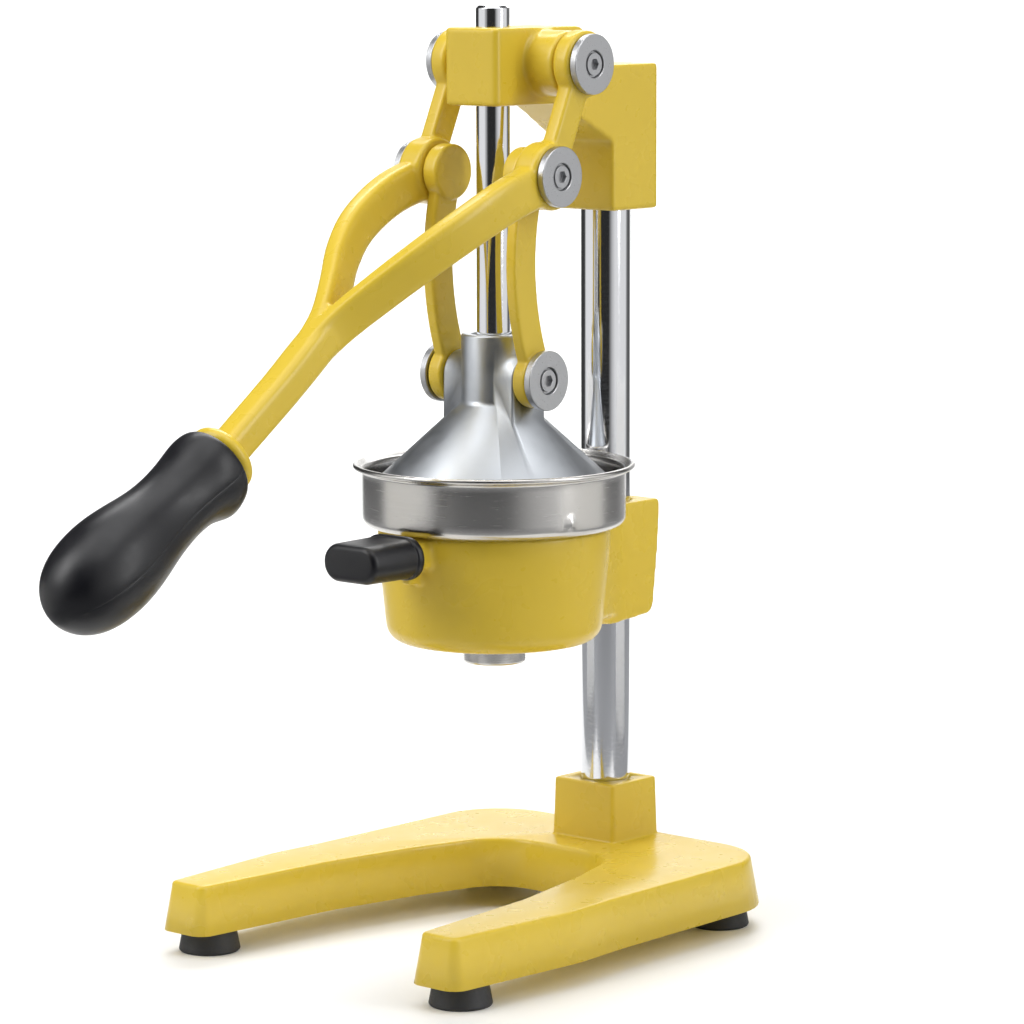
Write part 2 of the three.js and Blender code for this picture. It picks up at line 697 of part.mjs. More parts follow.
function leverCasting() {
  const side = leverSide();
  const collar = onBar(turned([
    [0, -collarWidth], [collarRadius - 3, -collarWidth], [collarRadius - 0.8, 1.6 - collarWidth],
    [collarRadius, -collarWidth / 2], [collarRadius - 0.8, -1.6], [collarRadius - 3, 0], [0, 0],
  ], 24), 0);
  const tang = onBar(chamferedRod(tangRadius, -1, tangLength, 1, 20), 0);
  const eyeHoles = [[0, 0], [elbow.y, elbow.z]].map(([y, z]) => (
    crossPin(sleeveRadius + gap, lugFace, elbowOuter + 1, y, z, 24)));
  return cut(
    join(side, mirroredX(side), pathBar(barPath, 0), collar, tang),
    ...eyeHoles, ...eyeHoles.map(mirroredX),
  );
}

function leverGrip() {
  const bore = tangRadius + gap;
  const end = tangLength + gap;
  const outer = gripOutline.map(([along, radius]) => [radius, gripLength * along]);
  const profile = [[bore, 0], ...outer, [0, end], [bore, end], [bore, 0]];
  return onBar(turned(profile, 24), gap);
}

// ---------- Press cone and guide rod, with the lower pivots at the origin ----------

function pressCone() {
  const run = bellRadius - hubRadius;
  const skirtTop = -hubFoot - run * bellSlope;
  const skirtBottom = skirtTop - bellSkirt;
  const body = turned([
    [0, skirtBottom], [bellRadius, skirtBottom], [bellRadius, skirtTop], [hubRadius, -hubFoot],
    [hubRadius, hubTop - 1], [hubRadius - 1, hubTop], [0, hubTop],
  ], 36);
  const wallDrop = bellWall * Math.hypot(1, bellSlope);
  const innerRadius = bellRadius - bellWall;
  const innerLow = skirtTop + bellWall * bellSlope - wallDrop;
  const hollow = turned([
    [0, skirtBottom - 1], [innerRadius, skirtBottom - 1], [innerRadius, innerLow],
    [innerRadius - (bellTop - innerLow) / bellSlope, bellTop], [0, bellTop],
  ], 36);
  const tab = rounded([
    [-lugRadius, -26], [lugRadius, -26],
    [lugRadius, lugRadius, lugRadius - 0.8], [-lugRadius, lugRadius, lugRadius - 0.8],
  ], 4);
  const lugs = sideways(casting(tab, [[-lugFace, 0.8], [0.8 - lugFace, 0], [lugFace - 0.8, 0],
    [lugFace, 0.8]]));
  return cut(
    join(body, lugs), hollow,
    cylinder(rodRadius + gap, rodFoot - gap, hubTop + 1, 24),
    cylinder(rodRadius + hubMouth, hubTop - hubMouthDepth, hubTop + 1, 24),
    cylinder(screwRadius + gap, bellTop - 1, rodFoot, 16),
    crossPin(screwRadius + gap, lugFace - 6, lugFace + 1, 0, 0, 16),
    crossPin(screwRadius + gap, -lugFace - 1, 6 - lugFace, 0, 0, 16),
  );
}

function guideRod() {
  const top = headTop + rodStandsOut - lowerPivot.z;
  return cut(
    chamferedRod(rodRadius, rodFoot, top, 1.2),
    cylinder(screwRadius + gap, rodFoot - 1, rodFoot + 15, 16),
  );
}

function rodScrew() {
  return turned([
    [0, bellTop - gap - 3.2], [4.6, bellTop - gap - 3.2], [5.4, bellTop - gap - 2.4],
    [5.4, bellTop - gap], [screwRadius, bellTop - gap], [screwRadius, rodFoot + 13], [0, rodFoot + 14],
  ], 12);
}

// ---------- Materials ----------

const finish = (color, metalness, roughness) => (
  new THREE.MeshStandardMaterial({ color, metalness, roughness, flatShading: true }));
const yellowPaint = () => finish(0xdec64a, 0, 0.3);
const chrome = () => finish(0xd9dbdd, 1, 0.08);
const stainless = () => finish(0xc4c2be, 1, 0.28);
const castAluminium = () => finish(0xa6aaae, 1, 0.32);
const zincSteel = () => finish(0xa9abad, 1, 0.35);
const blackPlastic = () => finish(0x2b2b31, 0, 0.42);
const blackRubber = () => finish(0x222225, 0, 0.7);

// ---------- Assembly ----------

function add(group, name, geometry, material, place = [0, 0, 0], turn = [0, 0, 0]) {
  const mesh = new THREE.Mesh(toGeometry(toSolid(geometry)), material);
  mesh.name = name;
  mesh.position.set(...place);
  mesh.rotation.set(...turn);
  group.add(mesh);
}

// A disc, sleeve and socket screw on each side of the press, at a place in the side view.
function addPivot(group, name, side, y, z, sleeveInner, sleeveOuter, screwTip) {
  const sign = side === 'right' ? 1 : -1;
  const turn = [0, (sign * Math.PI) / 2, 0];
  const seat = sleeveOuter + gap;
  const headSeat = seat + discThickness - discRecess + 0.1;
  add(group, `${name}_disc_${side}`, pivotDisc(), zincSteel(), [sign * seat, y, z], turn);
  add(group, `${name}_sleeve_${side}`, pivotSleeve(sleeveOuter - sleeveInner), zincSteel(),
    [sign * sleeveInner, y, z], turn);
  add(group, `${name}_screw_${side}`, pivotScrew(headSeat - screwTip), zincSteel(),
    [sign * headSeat, y, z], turn);
}

function buildStand() {
  const stand = new THREE.Group();
  add(stand, 'base_casting', baseCasting(), yellowPaint());
  Object.entries(footPlaces).forEach(([corner, [x, y]]) => {
    add(stand, `foot_${corner}`, foot(), blackRubber(), [x, y, 0]);
    add(stand, `foot_screw_${corner}`, footScrew(), zincSteel(), [x, y, 0]);
  });
  add(stand, 'column', column(), chrome(), [0, columnOffset, 0]);
  add(stand, 'bowl_casting', bowlCasting(), yellowPaint());
  add(stand, 'bowl_grip', smallGrip(), blackPlastic());
  add(stand, 'spout_sleeve', spout(), stainless());
  add(stand, 'strainer_pot', pot(), stainless());
  add(stand, 'reamer', reamer(), stainless());
  add(stand, 'head_casting', headCasting(), yellowPaint());
  add(stand, 'base_set_screw', setScrew(), zincSteel(), [0, 0, baseSetScrewHeight]);
  add(stand, 'bowl_set_screw', setScrew(), zincSteel(), [0, 0, bowlSetScrewHeight]);
  add(stand, 'head_set_screw', setScrew(), zincSteel(), [0, 0, headSetScrewHeight]);
  ['left', 'right'].forEach((side) => {
    addPivot(stand, 'head_pivot', side, headPivot.y, headPivot.z, headEyeInner, elbowOuter,
      bossFace - headScrewDepth);
  });
  return stand;
}

function buildLever() {
  const lever = new THREE.Group();
  lever.position.copy(headPivot);
  add(lever, 'lever_casting', leverCasting(), yellowPaint());
  add(lever, 'lever_grip', leverGrip(), blackPlastic());
  return lever;
}

function buildLink(side) {
  const group = new THREE.Group();
  group.position.copy(elbowPivot);
  const drop = lowerPivot.clone().sub(elbowPivot);
  add(group, `link_${side}`, side === 'right' ? link() : mirroredX(link()), yellowPaint());
  addPivot(group, 'elbow_pivot', side, 0, 0, elbowInner, elbowOuter, linkEyeInner + 1.8 + gap);
  addPivot(group, 'lower_pivot', side, drop.y, drop.z, linkInner, linkLowOuter, linkInner);
  return group;
}

function buildPress() {
  const press = new THREE.Group();
  press.position.copy(lowerPivot);
  add(press, 'press_cone', pressCone(), castAluminium());
  add(press, 'guide_rod', guideRod(), chrome());
  add(press, 'rod_screw', rodScrew(), zincSteel());
  return press;
}

const citrusPress = new THREE.Group();
citrusPress.add(buildStand(), buildLever(), buildLink('left'), buildLink('right'), buildPress());

// The origin is on the floor under the middle of the whole press, lever included.
const bounds = new THREE.Box3().setFromObject(citrusPress, true);
const middle = bounds.getCenter(new THREE.Vector3());
citrusPress.position.set(-middle.x, -middle.y, -bounds.min.z);

export default citrusPress;
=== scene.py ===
# A manual citrus press in yellow powder paint, chrome, stainless steel and cast aluminium.
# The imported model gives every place; the pieces below give its nodes their finished shape.
import json
import math
import bmesh
import bpy
from mathutils import Matrix, Vector

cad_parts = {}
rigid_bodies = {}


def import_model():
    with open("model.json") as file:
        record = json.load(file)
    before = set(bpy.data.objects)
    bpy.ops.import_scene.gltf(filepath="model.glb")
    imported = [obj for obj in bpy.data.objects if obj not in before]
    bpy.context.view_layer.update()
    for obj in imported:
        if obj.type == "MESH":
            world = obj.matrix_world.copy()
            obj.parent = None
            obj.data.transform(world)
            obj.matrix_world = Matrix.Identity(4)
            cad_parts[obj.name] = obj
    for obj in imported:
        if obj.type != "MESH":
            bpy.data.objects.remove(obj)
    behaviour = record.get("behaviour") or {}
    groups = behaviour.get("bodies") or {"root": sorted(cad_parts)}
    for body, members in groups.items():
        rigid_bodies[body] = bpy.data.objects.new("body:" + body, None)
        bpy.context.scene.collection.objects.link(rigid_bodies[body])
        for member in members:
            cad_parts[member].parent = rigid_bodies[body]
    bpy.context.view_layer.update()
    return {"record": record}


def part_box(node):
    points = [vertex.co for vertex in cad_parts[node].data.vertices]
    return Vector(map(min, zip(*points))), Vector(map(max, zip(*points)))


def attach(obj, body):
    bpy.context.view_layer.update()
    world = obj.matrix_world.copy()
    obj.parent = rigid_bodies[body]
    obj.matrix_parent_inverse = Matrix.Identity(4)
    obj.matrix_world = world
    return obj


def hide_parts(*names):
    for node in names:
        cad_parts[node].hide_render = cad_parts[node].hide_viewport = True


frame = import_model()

scene = bpy.context.scene
fullTurn = 2 * math.pi


# Places. Everything is modelled in millimetres from the juicing axis, then moved into the frame.

def nodeBox(node):
    low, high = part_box(node)
    return Vector(low) * 1000, Vector(high) * 1000


def nodeMiddle(node):
    low, high = nodeBox(node)
    return (low + high) / 2


axisY = nodeMiddle("guide_rod").y
toFrame = Matrix.Diagonal((0.001, 0.001, 0.001, 1)) @ Matrix.Translation((0, axisY, 0))


def fromAxis(point):
    return Vector((point.x, point.y - axisY, point.z))


headPivot = fromAxis(nodeMiddle("head_pivot_disc_right"))
elbowPivot = fromAxis(nodeMiddle("elbow_pivot_disc_right"))
lowerPivot = fromAxis(nodeMiddle("lower_pivot_disc_right"))
columnMiddle = fromAxis(nodeMiddle("column"))
columnLow, columnHigh = nodeBox("column")
columnRadius = (columnHigh.x - columnLow.x) / 2
bowlLow, bowlHigh = nodeBox("bowl_casting")
headLow, headHigh = nodeBox("head_casting")
potLow, potHigh = nodeBox("strainer_pot")
coneLow, coneHigh = nodeBox("press_cone")
rodLow, rodHigh = nodeBox("guide_rod")


# Camera: a long lens from the front left, a little above.

cameraSetup = {"azimuth": 41.0, "elevation": 7.41, "roll": -0.15, "distance": 1813.4,
               "aim": (0, 0, 200), "focal": 148.8, "shift": (0.01765, -0.03635)}


def addCamera():
    azimuth = math.radians(cameraSetup["azimuth"])
    elevation = math.radians(cameraSetup["elevation"])
    back = Vector((math.sin(azimuth) * math.cos(elevation),
                   -math.cos(azimuth) * math.cos(elevation), math.sin(elevation)))
    place = Vector(cameraSetup["aim"]) + back * cameraSetup["distance"]
    camera = bpy.data.objects.new("camera", bpy.data.cameras.new("camera"))
    camera.data.sensor_width = 36
    camera.data.lens = cameraSetup["focal"]
    camera.data.shift_x, camera.data.shift_y = cameraSetup["shift"]
    camera.data.clip_end = 20
    turn = back.to_track_quat("Z", "Y").to_matrix().to_4x4()
    roll = Matrix.Rotation(math.radians(cameraSetup["roll"]), 4, "Z")
    camera.matrix_world = Matrix.Translation(toFrame @ place) @ turn @ roll
    scene.collection.objects.link(camera)
    scene.camera = camera


addCamera()
print("camera set")


# Materials.

def linear(hexColour):
    channels = [int(hexColour[i:i + 2], 16) / 255 for i in (1, 3, 5)]
    return [c / 12.92 if c <= 0.04045 else ((c + 0.055) / 1.055) ** 2.4 for c in channels] + [1]


def addNode(tree, kind, settings=None, inputs=None):
    node = tree.nodes.new(kind)
    for key, value in (settings or {}).items():
        setattr(node, key, value)
    for key, value in (inputs or {}).items():
        if isinstance(value, bpy.types.NodeSocket):
            tree.links.new(value, node.inputs[key])
        else:
            node.inputs[key].default_value = value
    return node


def newMaterial(name, surface):
    material = bpy.data.materials.new(name)
    material.use_nodes = True
    tree = material.node_tree
    tree.nodes.clear()
    shader = addNode(tree, "ShaderNodeBsdfPrincipled", inputs=surface)
    addNode(tree, "ShaderNodeOutputMaterial", inputs={"Surface": shader.outputs[0]})
    return material, tree, shader


def objectPattern(tree, scale=(1, 1, 1)):
    # a scale under 1 draws the pattern out along that axis
    coordinates = addNode(tree, "ShaderNodeTexCoord")
    return addNode(tree, "ShaderNodeMapping", inputs={
        "Vector": coordinates.outputs["Object"], "Scale": scale}).outputs["Vector"]


def perMetre(millimetres):
    return 1000 / millimetres


def noise(tree, vector, size, detail=2.0, roughness=0.5):
    # size is the width of one blot, in millimetres
    return addNode(tree, "ShaderNodeTexNoise", inputs={
        "Vector": vector, "Scale": perMetre(size), "Detail": detail, "Roughness": roughness,
    }).outputs["Fac"]


def spread(tree, value, low, high):
    # noise keeps mostly to 0.3 to 0.7, which is stretched over low to high
    return addNode(tree, "ShaderNodeMapRange", inputs={
        "Value": value, "From Min": 0.3, "From Max": 0.7, "To Min": low, "To Max": high,
    }).outputs["Result"]


def bump(tree, height, strength, distance, normal=None):
    inputs = {"Height": height, "Strength": strength, "Distance": distance}
    if normal is not None:
        inputs["Normal"] = normal
    return addNode(tree, "ShaderNodeBump", inputs=inputs).outputs["Normal"]


def blend(tree, factor, first, second):
    return addNode(tree, "ShaderNodeMix", {"data_type": "RGBA"}, {
        0: factor, 6: linear(first), 7: linear(second)}).outputs[2]


def powderPaint():
    # Gloss powder paint baked over a sand casting: a smooth skin with faint orange peel and,
    # under it, the soft unevenness of the casting.
    material, tree, shader = newMaterial("yellowPowderPaint", {"Roughness": 0.3, "IOR": 1.46})
    vector = objectPattern(tree)
    tone = blend(tree, noise(tree, vector, 38, 2), "#D9BB38", "#DDBF3D")
    peel = bump(tree, noise(tree, vector, 2.6, 1), 0.1, 0.0002)
    cast = bump(tree, noise(tree, vector, 16, 1), 0.045, 0.0006, peel)
    gloss = noise(tree, vector, 11, 2)
    tree.links.new(tone, shader.inputs["Base Color"])
    tree.links.new(spread(tree, gloss, 0.26, 0.31), shader.inputs["Roughness"])
    tree.links.new(cast, shader.inputs["Normal"])
    return material


def brightChrome():
    # Ground steel tube, plated with chrome: a mirror with very faint grinding round it.
    material, tree, shader = newMaterial("brightChrome", {
        "Base Color": linear("#DFE0E3"), "Metallic": 1.0, "Roughness": 0.09})
    vector = objectPattern(tree, (0.3, 0.3, 1))
    haze = noise(tree, vector, 0.8, 3)
    grinding = noise(tree, vector, 1.2, 2)
    tree.links.new(spread(tree, haze, 0.06, 0.13), shader.inputs["Roughness"])
    tree.links.new(bump(tree, grinding, 0.03, 0.0001), shader.inputs["Normal"])
    return material


def spunStainless():
    # Stainless sheet spun on a lathe: satin, with fine lines that run round the wall.
    material, tree, shader = newMaterial("spunStainless", {
        "Base Color": linear("#C9C7C4"), "Metallic": 1.0, "Roughness": 0.22})
    vector = objectPattern(tree, (0.03, 0.03, 1))
    lines = noise(tree, vector, 0.5, 4, 0.7)
    tree.links.new(spread(tree, lines, 0.22, 0.28), shader.inputs["Roughness"])
    tree.links.new(bump(tree, lines, 0.025, 0.0001), shader.inputs["Normal"])
    return material


def tumbledAluminium():
    # Cast aluminium, tumbled and polished: bright grey with soft flow marks of the casting.
    material, tree, shader = newMaterial("tumbledAluminium", {
        "Base Color": linear("#B4B8BC"), "Metallic": 1.0, "Roughness": 0.22})
    vector = objectPattern(tree)
    flow = noise(tree, vector, 9, 4, 0.6)
    tree.links.new(blend(tree, flow, "#B0B4B9", "#BEC2C7"), shader.inputs["Base Color"])
    tree.links.new(spread(tree, flow, 0.36, 0.44), shader.inputs["Roughness"])
    grain = bump(tree, noise(tree, vector, 0.9, 3), 0.14, 0.0001)
    tree.links.new(bump(tree, noise(tree, vector, 12, 1), 0.1, 0.0005, grain),
                   shader.inputs["Normal"])
    return material


def zincSteel():
    # Turned steel with bright zinc: satin grey with a fine tooth.
    material, tree, shader = newMaterial("zincPlatedSteel", {
        "Base Color": linear("#B5B6B8"), "Metallic": 1.0, "Roughness": 0.34})
    vector = objectPattern(tree)
    tooth = noise(tree, vector, 0.7, 3, 0.6)
    tree.links.new(spread(tree, tooth, 0.26, 0.44), shader.inputs["Roughness"])
    tree.links.new(bump(tree, tooth, 0.35, 0.0002), shader.inputs["Normal"])
    return material


def mouldedPlastic():
    # Black ABS from a lightly etched mould: half gloss with a hint of blue.
    material, tree, shader = newMaterial("blackMouldedPlastic", {
        "Base Color": linear("#0D0D13"), "Roughness": 0.36, "IOR": 1.46})
    vector = objectPattern(tree)
    etch = noise(tree, vector, 0.6, 2)
    wear = noise(tree, vector, 6, 3)
    tree.links.new(spread(tree, wear, 0.33, 0.41), shader.inputs["Roughness"])
    tree.links.new(bump(tree, etch, 0.08, 0.0002), shader.inputs["Normal"])
    return material


def footRubber():
    # Black moulded rubber: matt, with dust in its grain.
    material, tree, shader = newMaterial("blackFootRubber", {
        "Base Color": linear("#202124"), "Roughness": 0.6, "IOR": 1.52})
    vector = objectPattern(tree)
    grain = noise(tree, vector, 1.0, 3)
    tree.links.new(blend(tree, grain, "#1A1B1E", "#2A2B2E"), shader.inputs["Base Color"])
    tree.links.new(spread(tree, grain, 0.5, 0.68), shader.inputs["Roughness"])
    tree.links.new(bump(tree, grain, 0.15, 0.0003), shader.inputs["Normal"])
    return material


slotMaterials = {"yellow_enamel": powderPaint(), "chrome": brightChrome(),
                 "stainless_steel": spunStainless(), "cast_aluminium": tumbledAluminium(),
                 "zinc_steel": zincSteel(), "black_plastic": mouldedPlastic(),
                 "foot_rubber": footRubber()}
for part in frame["record"]["subparts"]:
    node = bpy.data.objects[part["node"]]
    node.data.materials.clear()
    node.data.materials.append(slotMaterials[part["material_slot"]])
print("materials made")


# Modelling helpers, in millimetres.

def wireOf(points, closed=False):
    bm = bmesh.new()
    corners = [bm.verts.new(point) for point in points]
    for first, second in zip(corners, corners[1:] + corners[:1] if closed else corners[1:]):
        bm.edges.new((first, second))
    return bm


def tidyUp(bm):
    bmesh.ops.remove_doubles(bm, verts=bm.verts, dist=0.001)
    bmesh.ops.recalc_face_normals(bm, faces=bm.faces)
    return bm


def turned(profile, steps=96, closed=False):
    bm = wireOf([(radius, 0, height) for radius, height in profile], closed)
    bmesh.ops.spin(bm, geom=bm.verts[:] + bm.edges[:], axis=(0, 0, 1), cent=(0, 0, 0),
                   angle=fullTurn, steps=steps, use_merge=True)
    return tidyUp(bm)


def moved(bm, matrix):
    bmesh.ops.transform(bm, matrix=matrix, verts=bm.verts)
    return bm


def mirrored(bm):
    moved(bm, Matrix.Diagonal((-1, 1, 1, 1)))
    bmesh.ops.reverse_faces(bm, faces=bm.faces)
    return bm


# Upright shapes turned to lie across the press, to its rear, and a flat shape in its side view.
alongX = Matrix.Rotation(math.pi / 2, 4, "Y")
alongRear = Matrix.Rotation(-math.pi / 2, 4, "X")
sideView = Matrix(((0, 0, 1, 0), (1, 0, 0, 0), (0, 1, 0, 0), (0, 0, 0, 1)))


def at(x, y, z):
    return Matrix.Translation((x, y, z))


def rodOf(radius, low, high, steps=48):
    return turned([(0, low), (radius, low), (radius, high), (0, high)], steps)


def roundCorners(bm, radii, segments=6):
    # radii holds a vertex and its radius; each flat corner becomes an arc
    for corner, radius in radii:
        ends = [edge.other_vert(corner).co - corner.co for edge in corner.link_edges]
        half = ends[0].angle(ends[1]) / 2
        bmesh.ops.bevel(bm, geom=[corner], offset=radius / math.tan(half), affect="VERTICES",
                        segments=segments, profile=0.5, material=-1, clamp_overlap=False)


def flatShape(corners, segments=6):
    # corners are (x, y, radius), counter-clockwise
    bm = bmesh.new()
    verts = [bm.verts.new((x, y, 0)) for x, y, radius in corners]
    bm.faces.new(verts)
    roundCorners(bm, [(v, c[2]) for v, c in zip(verts, corners) if c[2] > 0], segments)
    return bm


def raised(bm, levels):
    # a flat shape grows into a block, each level (rise, how far its outline draws in)
    base = bmesh.ops.duplicate(bm, geom=bm.faces[:])
    top = [item for item in base["geom"] if isinstance(item, bmesh.types.BMFace)]
    for rise, drawIn in levels:
        bmesh.ops.inset_region(bm, faces=top, thickness=drawIn, depth=rise, use_even_offset=True,
                               use_boundary=True)
    return tidyUp(bm)


def block(low, high, edge=0.0, segments=4):
    size = Vector(high) - Vector(low)
    bm = bmesh.new()
    bmesh.ops.create_cube(bm, size=1, matrix=at(*((Vector(low) + Vector(high)) / 2))
                          @ Matrix.Diagonal((*size, 1)))
    if edge:
        bmesh.ops.bevel(bm, geom=bm.edges[:], offset=edge, affect="EDGES", segments=segments,
                        profile=0.5, material=-1)
    return bm


def roundOver(edge, steps=4):
    # the last levels of a block whose top edge is rounded
    angles = [math.pi / 2 * k / steps for k in range(steps + 1)]
    return [(edge * (math.sin(after) - math.sin(before)),
             edge * (math.cos(before) - math.cos(after)))
            for before, after in zip(angles, angles[1:])]


def arcPoints(x, y, radius, start, end, steps):
    # angles in degrees
    angles = [math.radians(start + (end - start) * k / steps) for k in range(steps + 1)]
    return [(x + radius * math.cos(angle), y + radius * math.sin(angle)) for angle in angles]


def sweptBar(stations, corner):
    # stations are (point, width, height); the width stays level across the press
    points = [Vector(point) for point, width, height in stations]
    bm = flatShape([(0.5, -0.5, corner), (0.5, 0.5, corner), (-0.5, 0.5, corner),
                    (-0.5, -0.5, corner)], 4)
    places = []
    for i, (point, width, height) in enumerate(stations):
        tangent = (points[min(i + 1, len(points) - 1)] - points[max(i - 1, 0)]).normalized()
        side = (Vector((1, 0, 0)) - tangent * tangent.x).normalized()
        turn = Matrix((side, tangent.cross(side), tangent)).transposed().to_4x4()
        places.append(at(*point) @ turn @ Matrix.Diagonal((width, height, 1, 1)))
    moved(bm, places[0])
    front = bmesh.ops.duplicate(bm, geom=bm.faces[:])["geom"]
    for before, after in zip(places, places[1:]):
        face = [item for item in front if isinstance(item, bmesh.types.BMFace)]
        front = bmesh.ops.extrude_face_region(bm, geom=face)["geom"]
        bmesh.ops.delete(bm, geom=face, context="FACES_ONLY")
        verts = [item for item in front if isinstance(item, bmesh.types.BMVert)]
        bmesh.ops.transform(bm, matrix=after @ before.inverted(), verts=verts)
    return tidyUp(bm)


def smoothPath(points, steps):
    # a Catmull-Rom curve through (x, y, z, width, height) points
    knots = [Vector(p) for p in points]
    knots = [knots[0] * 2 - knots[1]] + knots + [knots[-1] * 2 - knots[-2]]
    path = []
    for i in range(1, len(knots) - 2):
        a, b, c, d = knots[i - 1:i + 3]
        for k in range(steps):
            t = k / steps
            path.append(0.5 * (2 * b + (c - a) * t + (2 * a - 5 * b + 4 * c - d) * t * t
                               + (3 * b - a - 3 * c + d) * t ** 3))
    path.append(knots[-2])
    return [((p[0], p[1], p[2]), p[3], p[4]) for p in path]


def temporary(bm):
    mesh = bpy.data.meshes.new("working")
    bm.to_mesh(mesh)
    bm.free()
    item = bpy.data.objects.new("working", mesh)
    scene.collection.objects.link(item)
    return item


def evaluated(item):
    bpy.context.view_layer.update()
    mesh = bpy.data.meshes.new_from_object(item.evaluated_get(
        bpy.context.evaluated_depsgraph_get()))
    bm = bmesh.new()
    bm.from_mesh(mesh)
    bpy.data.meshes.remove(mesh)
    return bm


def combined(body, others, operation):
    item = temporary(body)
    tools = [temporary(other) for other in others]
    for tool in tools:
        step = item.modifiers.new("join", "BOOLEAN")
        step.operation = operation
        step.solver = "EXACT"
        step.object = tool
    bm = evaluated(item)
    for spare in [item] + tools:
        bpy.data.objects.remove(spare)
    return bm


def castSkin(body, others, cuts, grain, rounds):
    # joins the shells, cuts the bores, and lets one skin flow over them as paint on a casting does
    bm = combined(body, others, "UNION") if others else body
    if cuts:
        bm = combined(bm, cuts, "DIFFERENCE")
    item = temporary(bm)
    skin = item.modifiers.new("skin", "REMESH")
    skin.mode = "VOXEL"
    skin.voxel_size = grain
    skin.adaptivity = 0
    bm = evaluated(item)
    bpy.data.objects.remove(item)
    for step in range(rounds):
        bmesh.ops.smooth_vert(bm, verts=bm.verts, factor=0.5, use_axis_x=True, use_axis_y=True,
                              use_axis_z=True)
    return bm


def addPiece(name, bm, body, slot, nodes=(), softEdge=0.0, sharpAngle=30.0):
    moved(bm, toFrame)
    mesh = bpy.data.meshes.new(name)
    bm.to_mesh(mesh)
    bm.free()
    mesh.shade_smooth()
    mesh.materials.append(slotMaterials[slot])
    piece = bpy.data.objects.new(name, mesh)
    scene.collection.objects.link(piece)
    if softEdge:
        bevel = piece.modifiers.new("softEdge", "BEVEL")
        bevel.width = softEdge / 1000
        bevel.segments = 3
        bevel.limit_method = "ANGLE"
        bevel.angle_limit = math.radians(sharpAngle)
        bevel.harden_normals = True
    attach(piece, body)
    if nodes:
        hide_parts(*nodes)
    return piece


# Stand: base, feet and column.

baseShape = {"bottom": 10, "top": 31, "draft": 3.4, "edge": 1.8, "reach": 121.4, "tipInner": 58.7,
             "tipOuter": 84.3, "widest": 90, "rear": 97.2, "throat": 38.4, "postTop": 57,
             "postWidth": 37, "postDepth": 33.6, "postCorner": 3.2, "postFoot": 14,
             "columnGap": 0.7, "screwHole": 3.4, "footHole": 3.3, "fillet": 1.3}
corners = ("front_left", "front_right", "rear_left", "rear_right")


def setScrewHole(node, radius, steps=24):
    place = at(0, columnMiddle.y + 8, nodeMiddle(node).z)
    return moved(rodOf(radius, 0, 30, steps), place @ alongRear)


def baseCasting():
    s = baseShape
    half = [(30, s["throat"], 22), (42.4, -1.6, 40), (52, -47.6, 60),
            (s["tipInner"], -s["reach"], 7), (s["tipOuter"], -s["reach"], 7),
            (s["widest"], -50, 90), (88, -22, 90), (86.4, s["rear"], 34)]
    outline = half + [(-x, y, radius) for x, y, radius in reversed(half)]
    rise = s["top"] - s["bottom"] - s["edge"]
    legs = raised(flatShape(outline, 10), [(rise, s["draft"])] + roundOver(s["edge"]))
    moved(legs, at(0, 0, s["bottom"]))
    w, d, y, r = s["postWidth"] / 2, s["postDepth"] / 2, columnMiddle.y, s["postCorner"]
    post = raised(flatShape([(w, y - d, r), (w, y + d, r), (-w, y + d, r), (-w, y - d, r)], 5),
                  [(s["postTop"] - s["postFoot"] - 1, 1.5), (0.6, 0.25), (0.4, 0.75)])
    moved(post, at(0, 0, s["postFoot"]))
    bore = moved(rodOf(columnRadius + s["columnGap"], 30, 60, 96), at(0, y, 0))
    screwHole = setScrewHole("base_set_screw", s["screwHole"], 32)
    footHoles = []
    for corner in corners:
        place = fromAxis(nodeMiddle("foot_screw_" + corner))
        footHoles.append(moved(rodOf(s["footHole"], 5, 23, 24), at(place.x, place.y, 0)))
    bm = combined(legs, [post], "UNION")
    # a small fillet where the post stands on the plate
    foot = [edge for edge in bm.edges
            if all(abs(v.co.z - s["top"]) < 0.05 and abs(v.co.x) < w + 1
                   and abs(v.co.y - y) < d + 1 for v in edge.verts)]
    bmesh.ops.bevel(bm, geom=foot, offset=s["fillet"], affect="EDGES", segments=4, profile=0.5,
                    material=-1)
    return combined(bm, [bore, screwHole] + footHoles, "DIFFERENCE")


addPiece("baseBody", baseCasting(), "stand", "yellow_enamel", ["base_casting"])
print("base made")


footShape = {"bottom": 13.2, "top": 11.5, "height": 9.7, "screwHole": 3.1, "recess": 6.4,
             "recessDepth": 4}


def addFeet():
    s = footShape
    profile = [(s["screwHole"], s["height"]), (s["top"], s["height"]), (s["bottom"] - 0.2, 1.6),
               (s["bottom"], 0.9), (s["bottom"] - 0.7, 0), (s["recess"], 0),
               (s["recess"], s["recessDepth"]), (s["screwHole"], s["recessDepth"])]
    for corner in corners:
        place = fromAxis(nodeMiddle("foot_" + corner))
        bm = moved(turned(profile, 64, True), at(place.x, place.y, 0))
        addPiece("rubberFoot_" + corner, bm, "stand", "foot_rubber", ["foot_" + corner], 0.4)


addFeet()


def chamferedRod(radius, low, high, chamfer, steps):
    return turned([(0, low), (radius - chamfer, low), (radius, low + chamfer),
                   (radius, high - chamfer), (radius - chamfer, high), (0, high)], steps)


columnRod = chamferedRod(columnRadius, columnLow.z, columnHigh.z, 1, 128)
addPiece("columnTube", moved(columnRod, at(0, columnMiddle.y, 0)), "stand", "chrome", ["column"],
         0.3)
print("feet and column made")


# Bowl, with its clamp, its stub, the small grip and the spout.

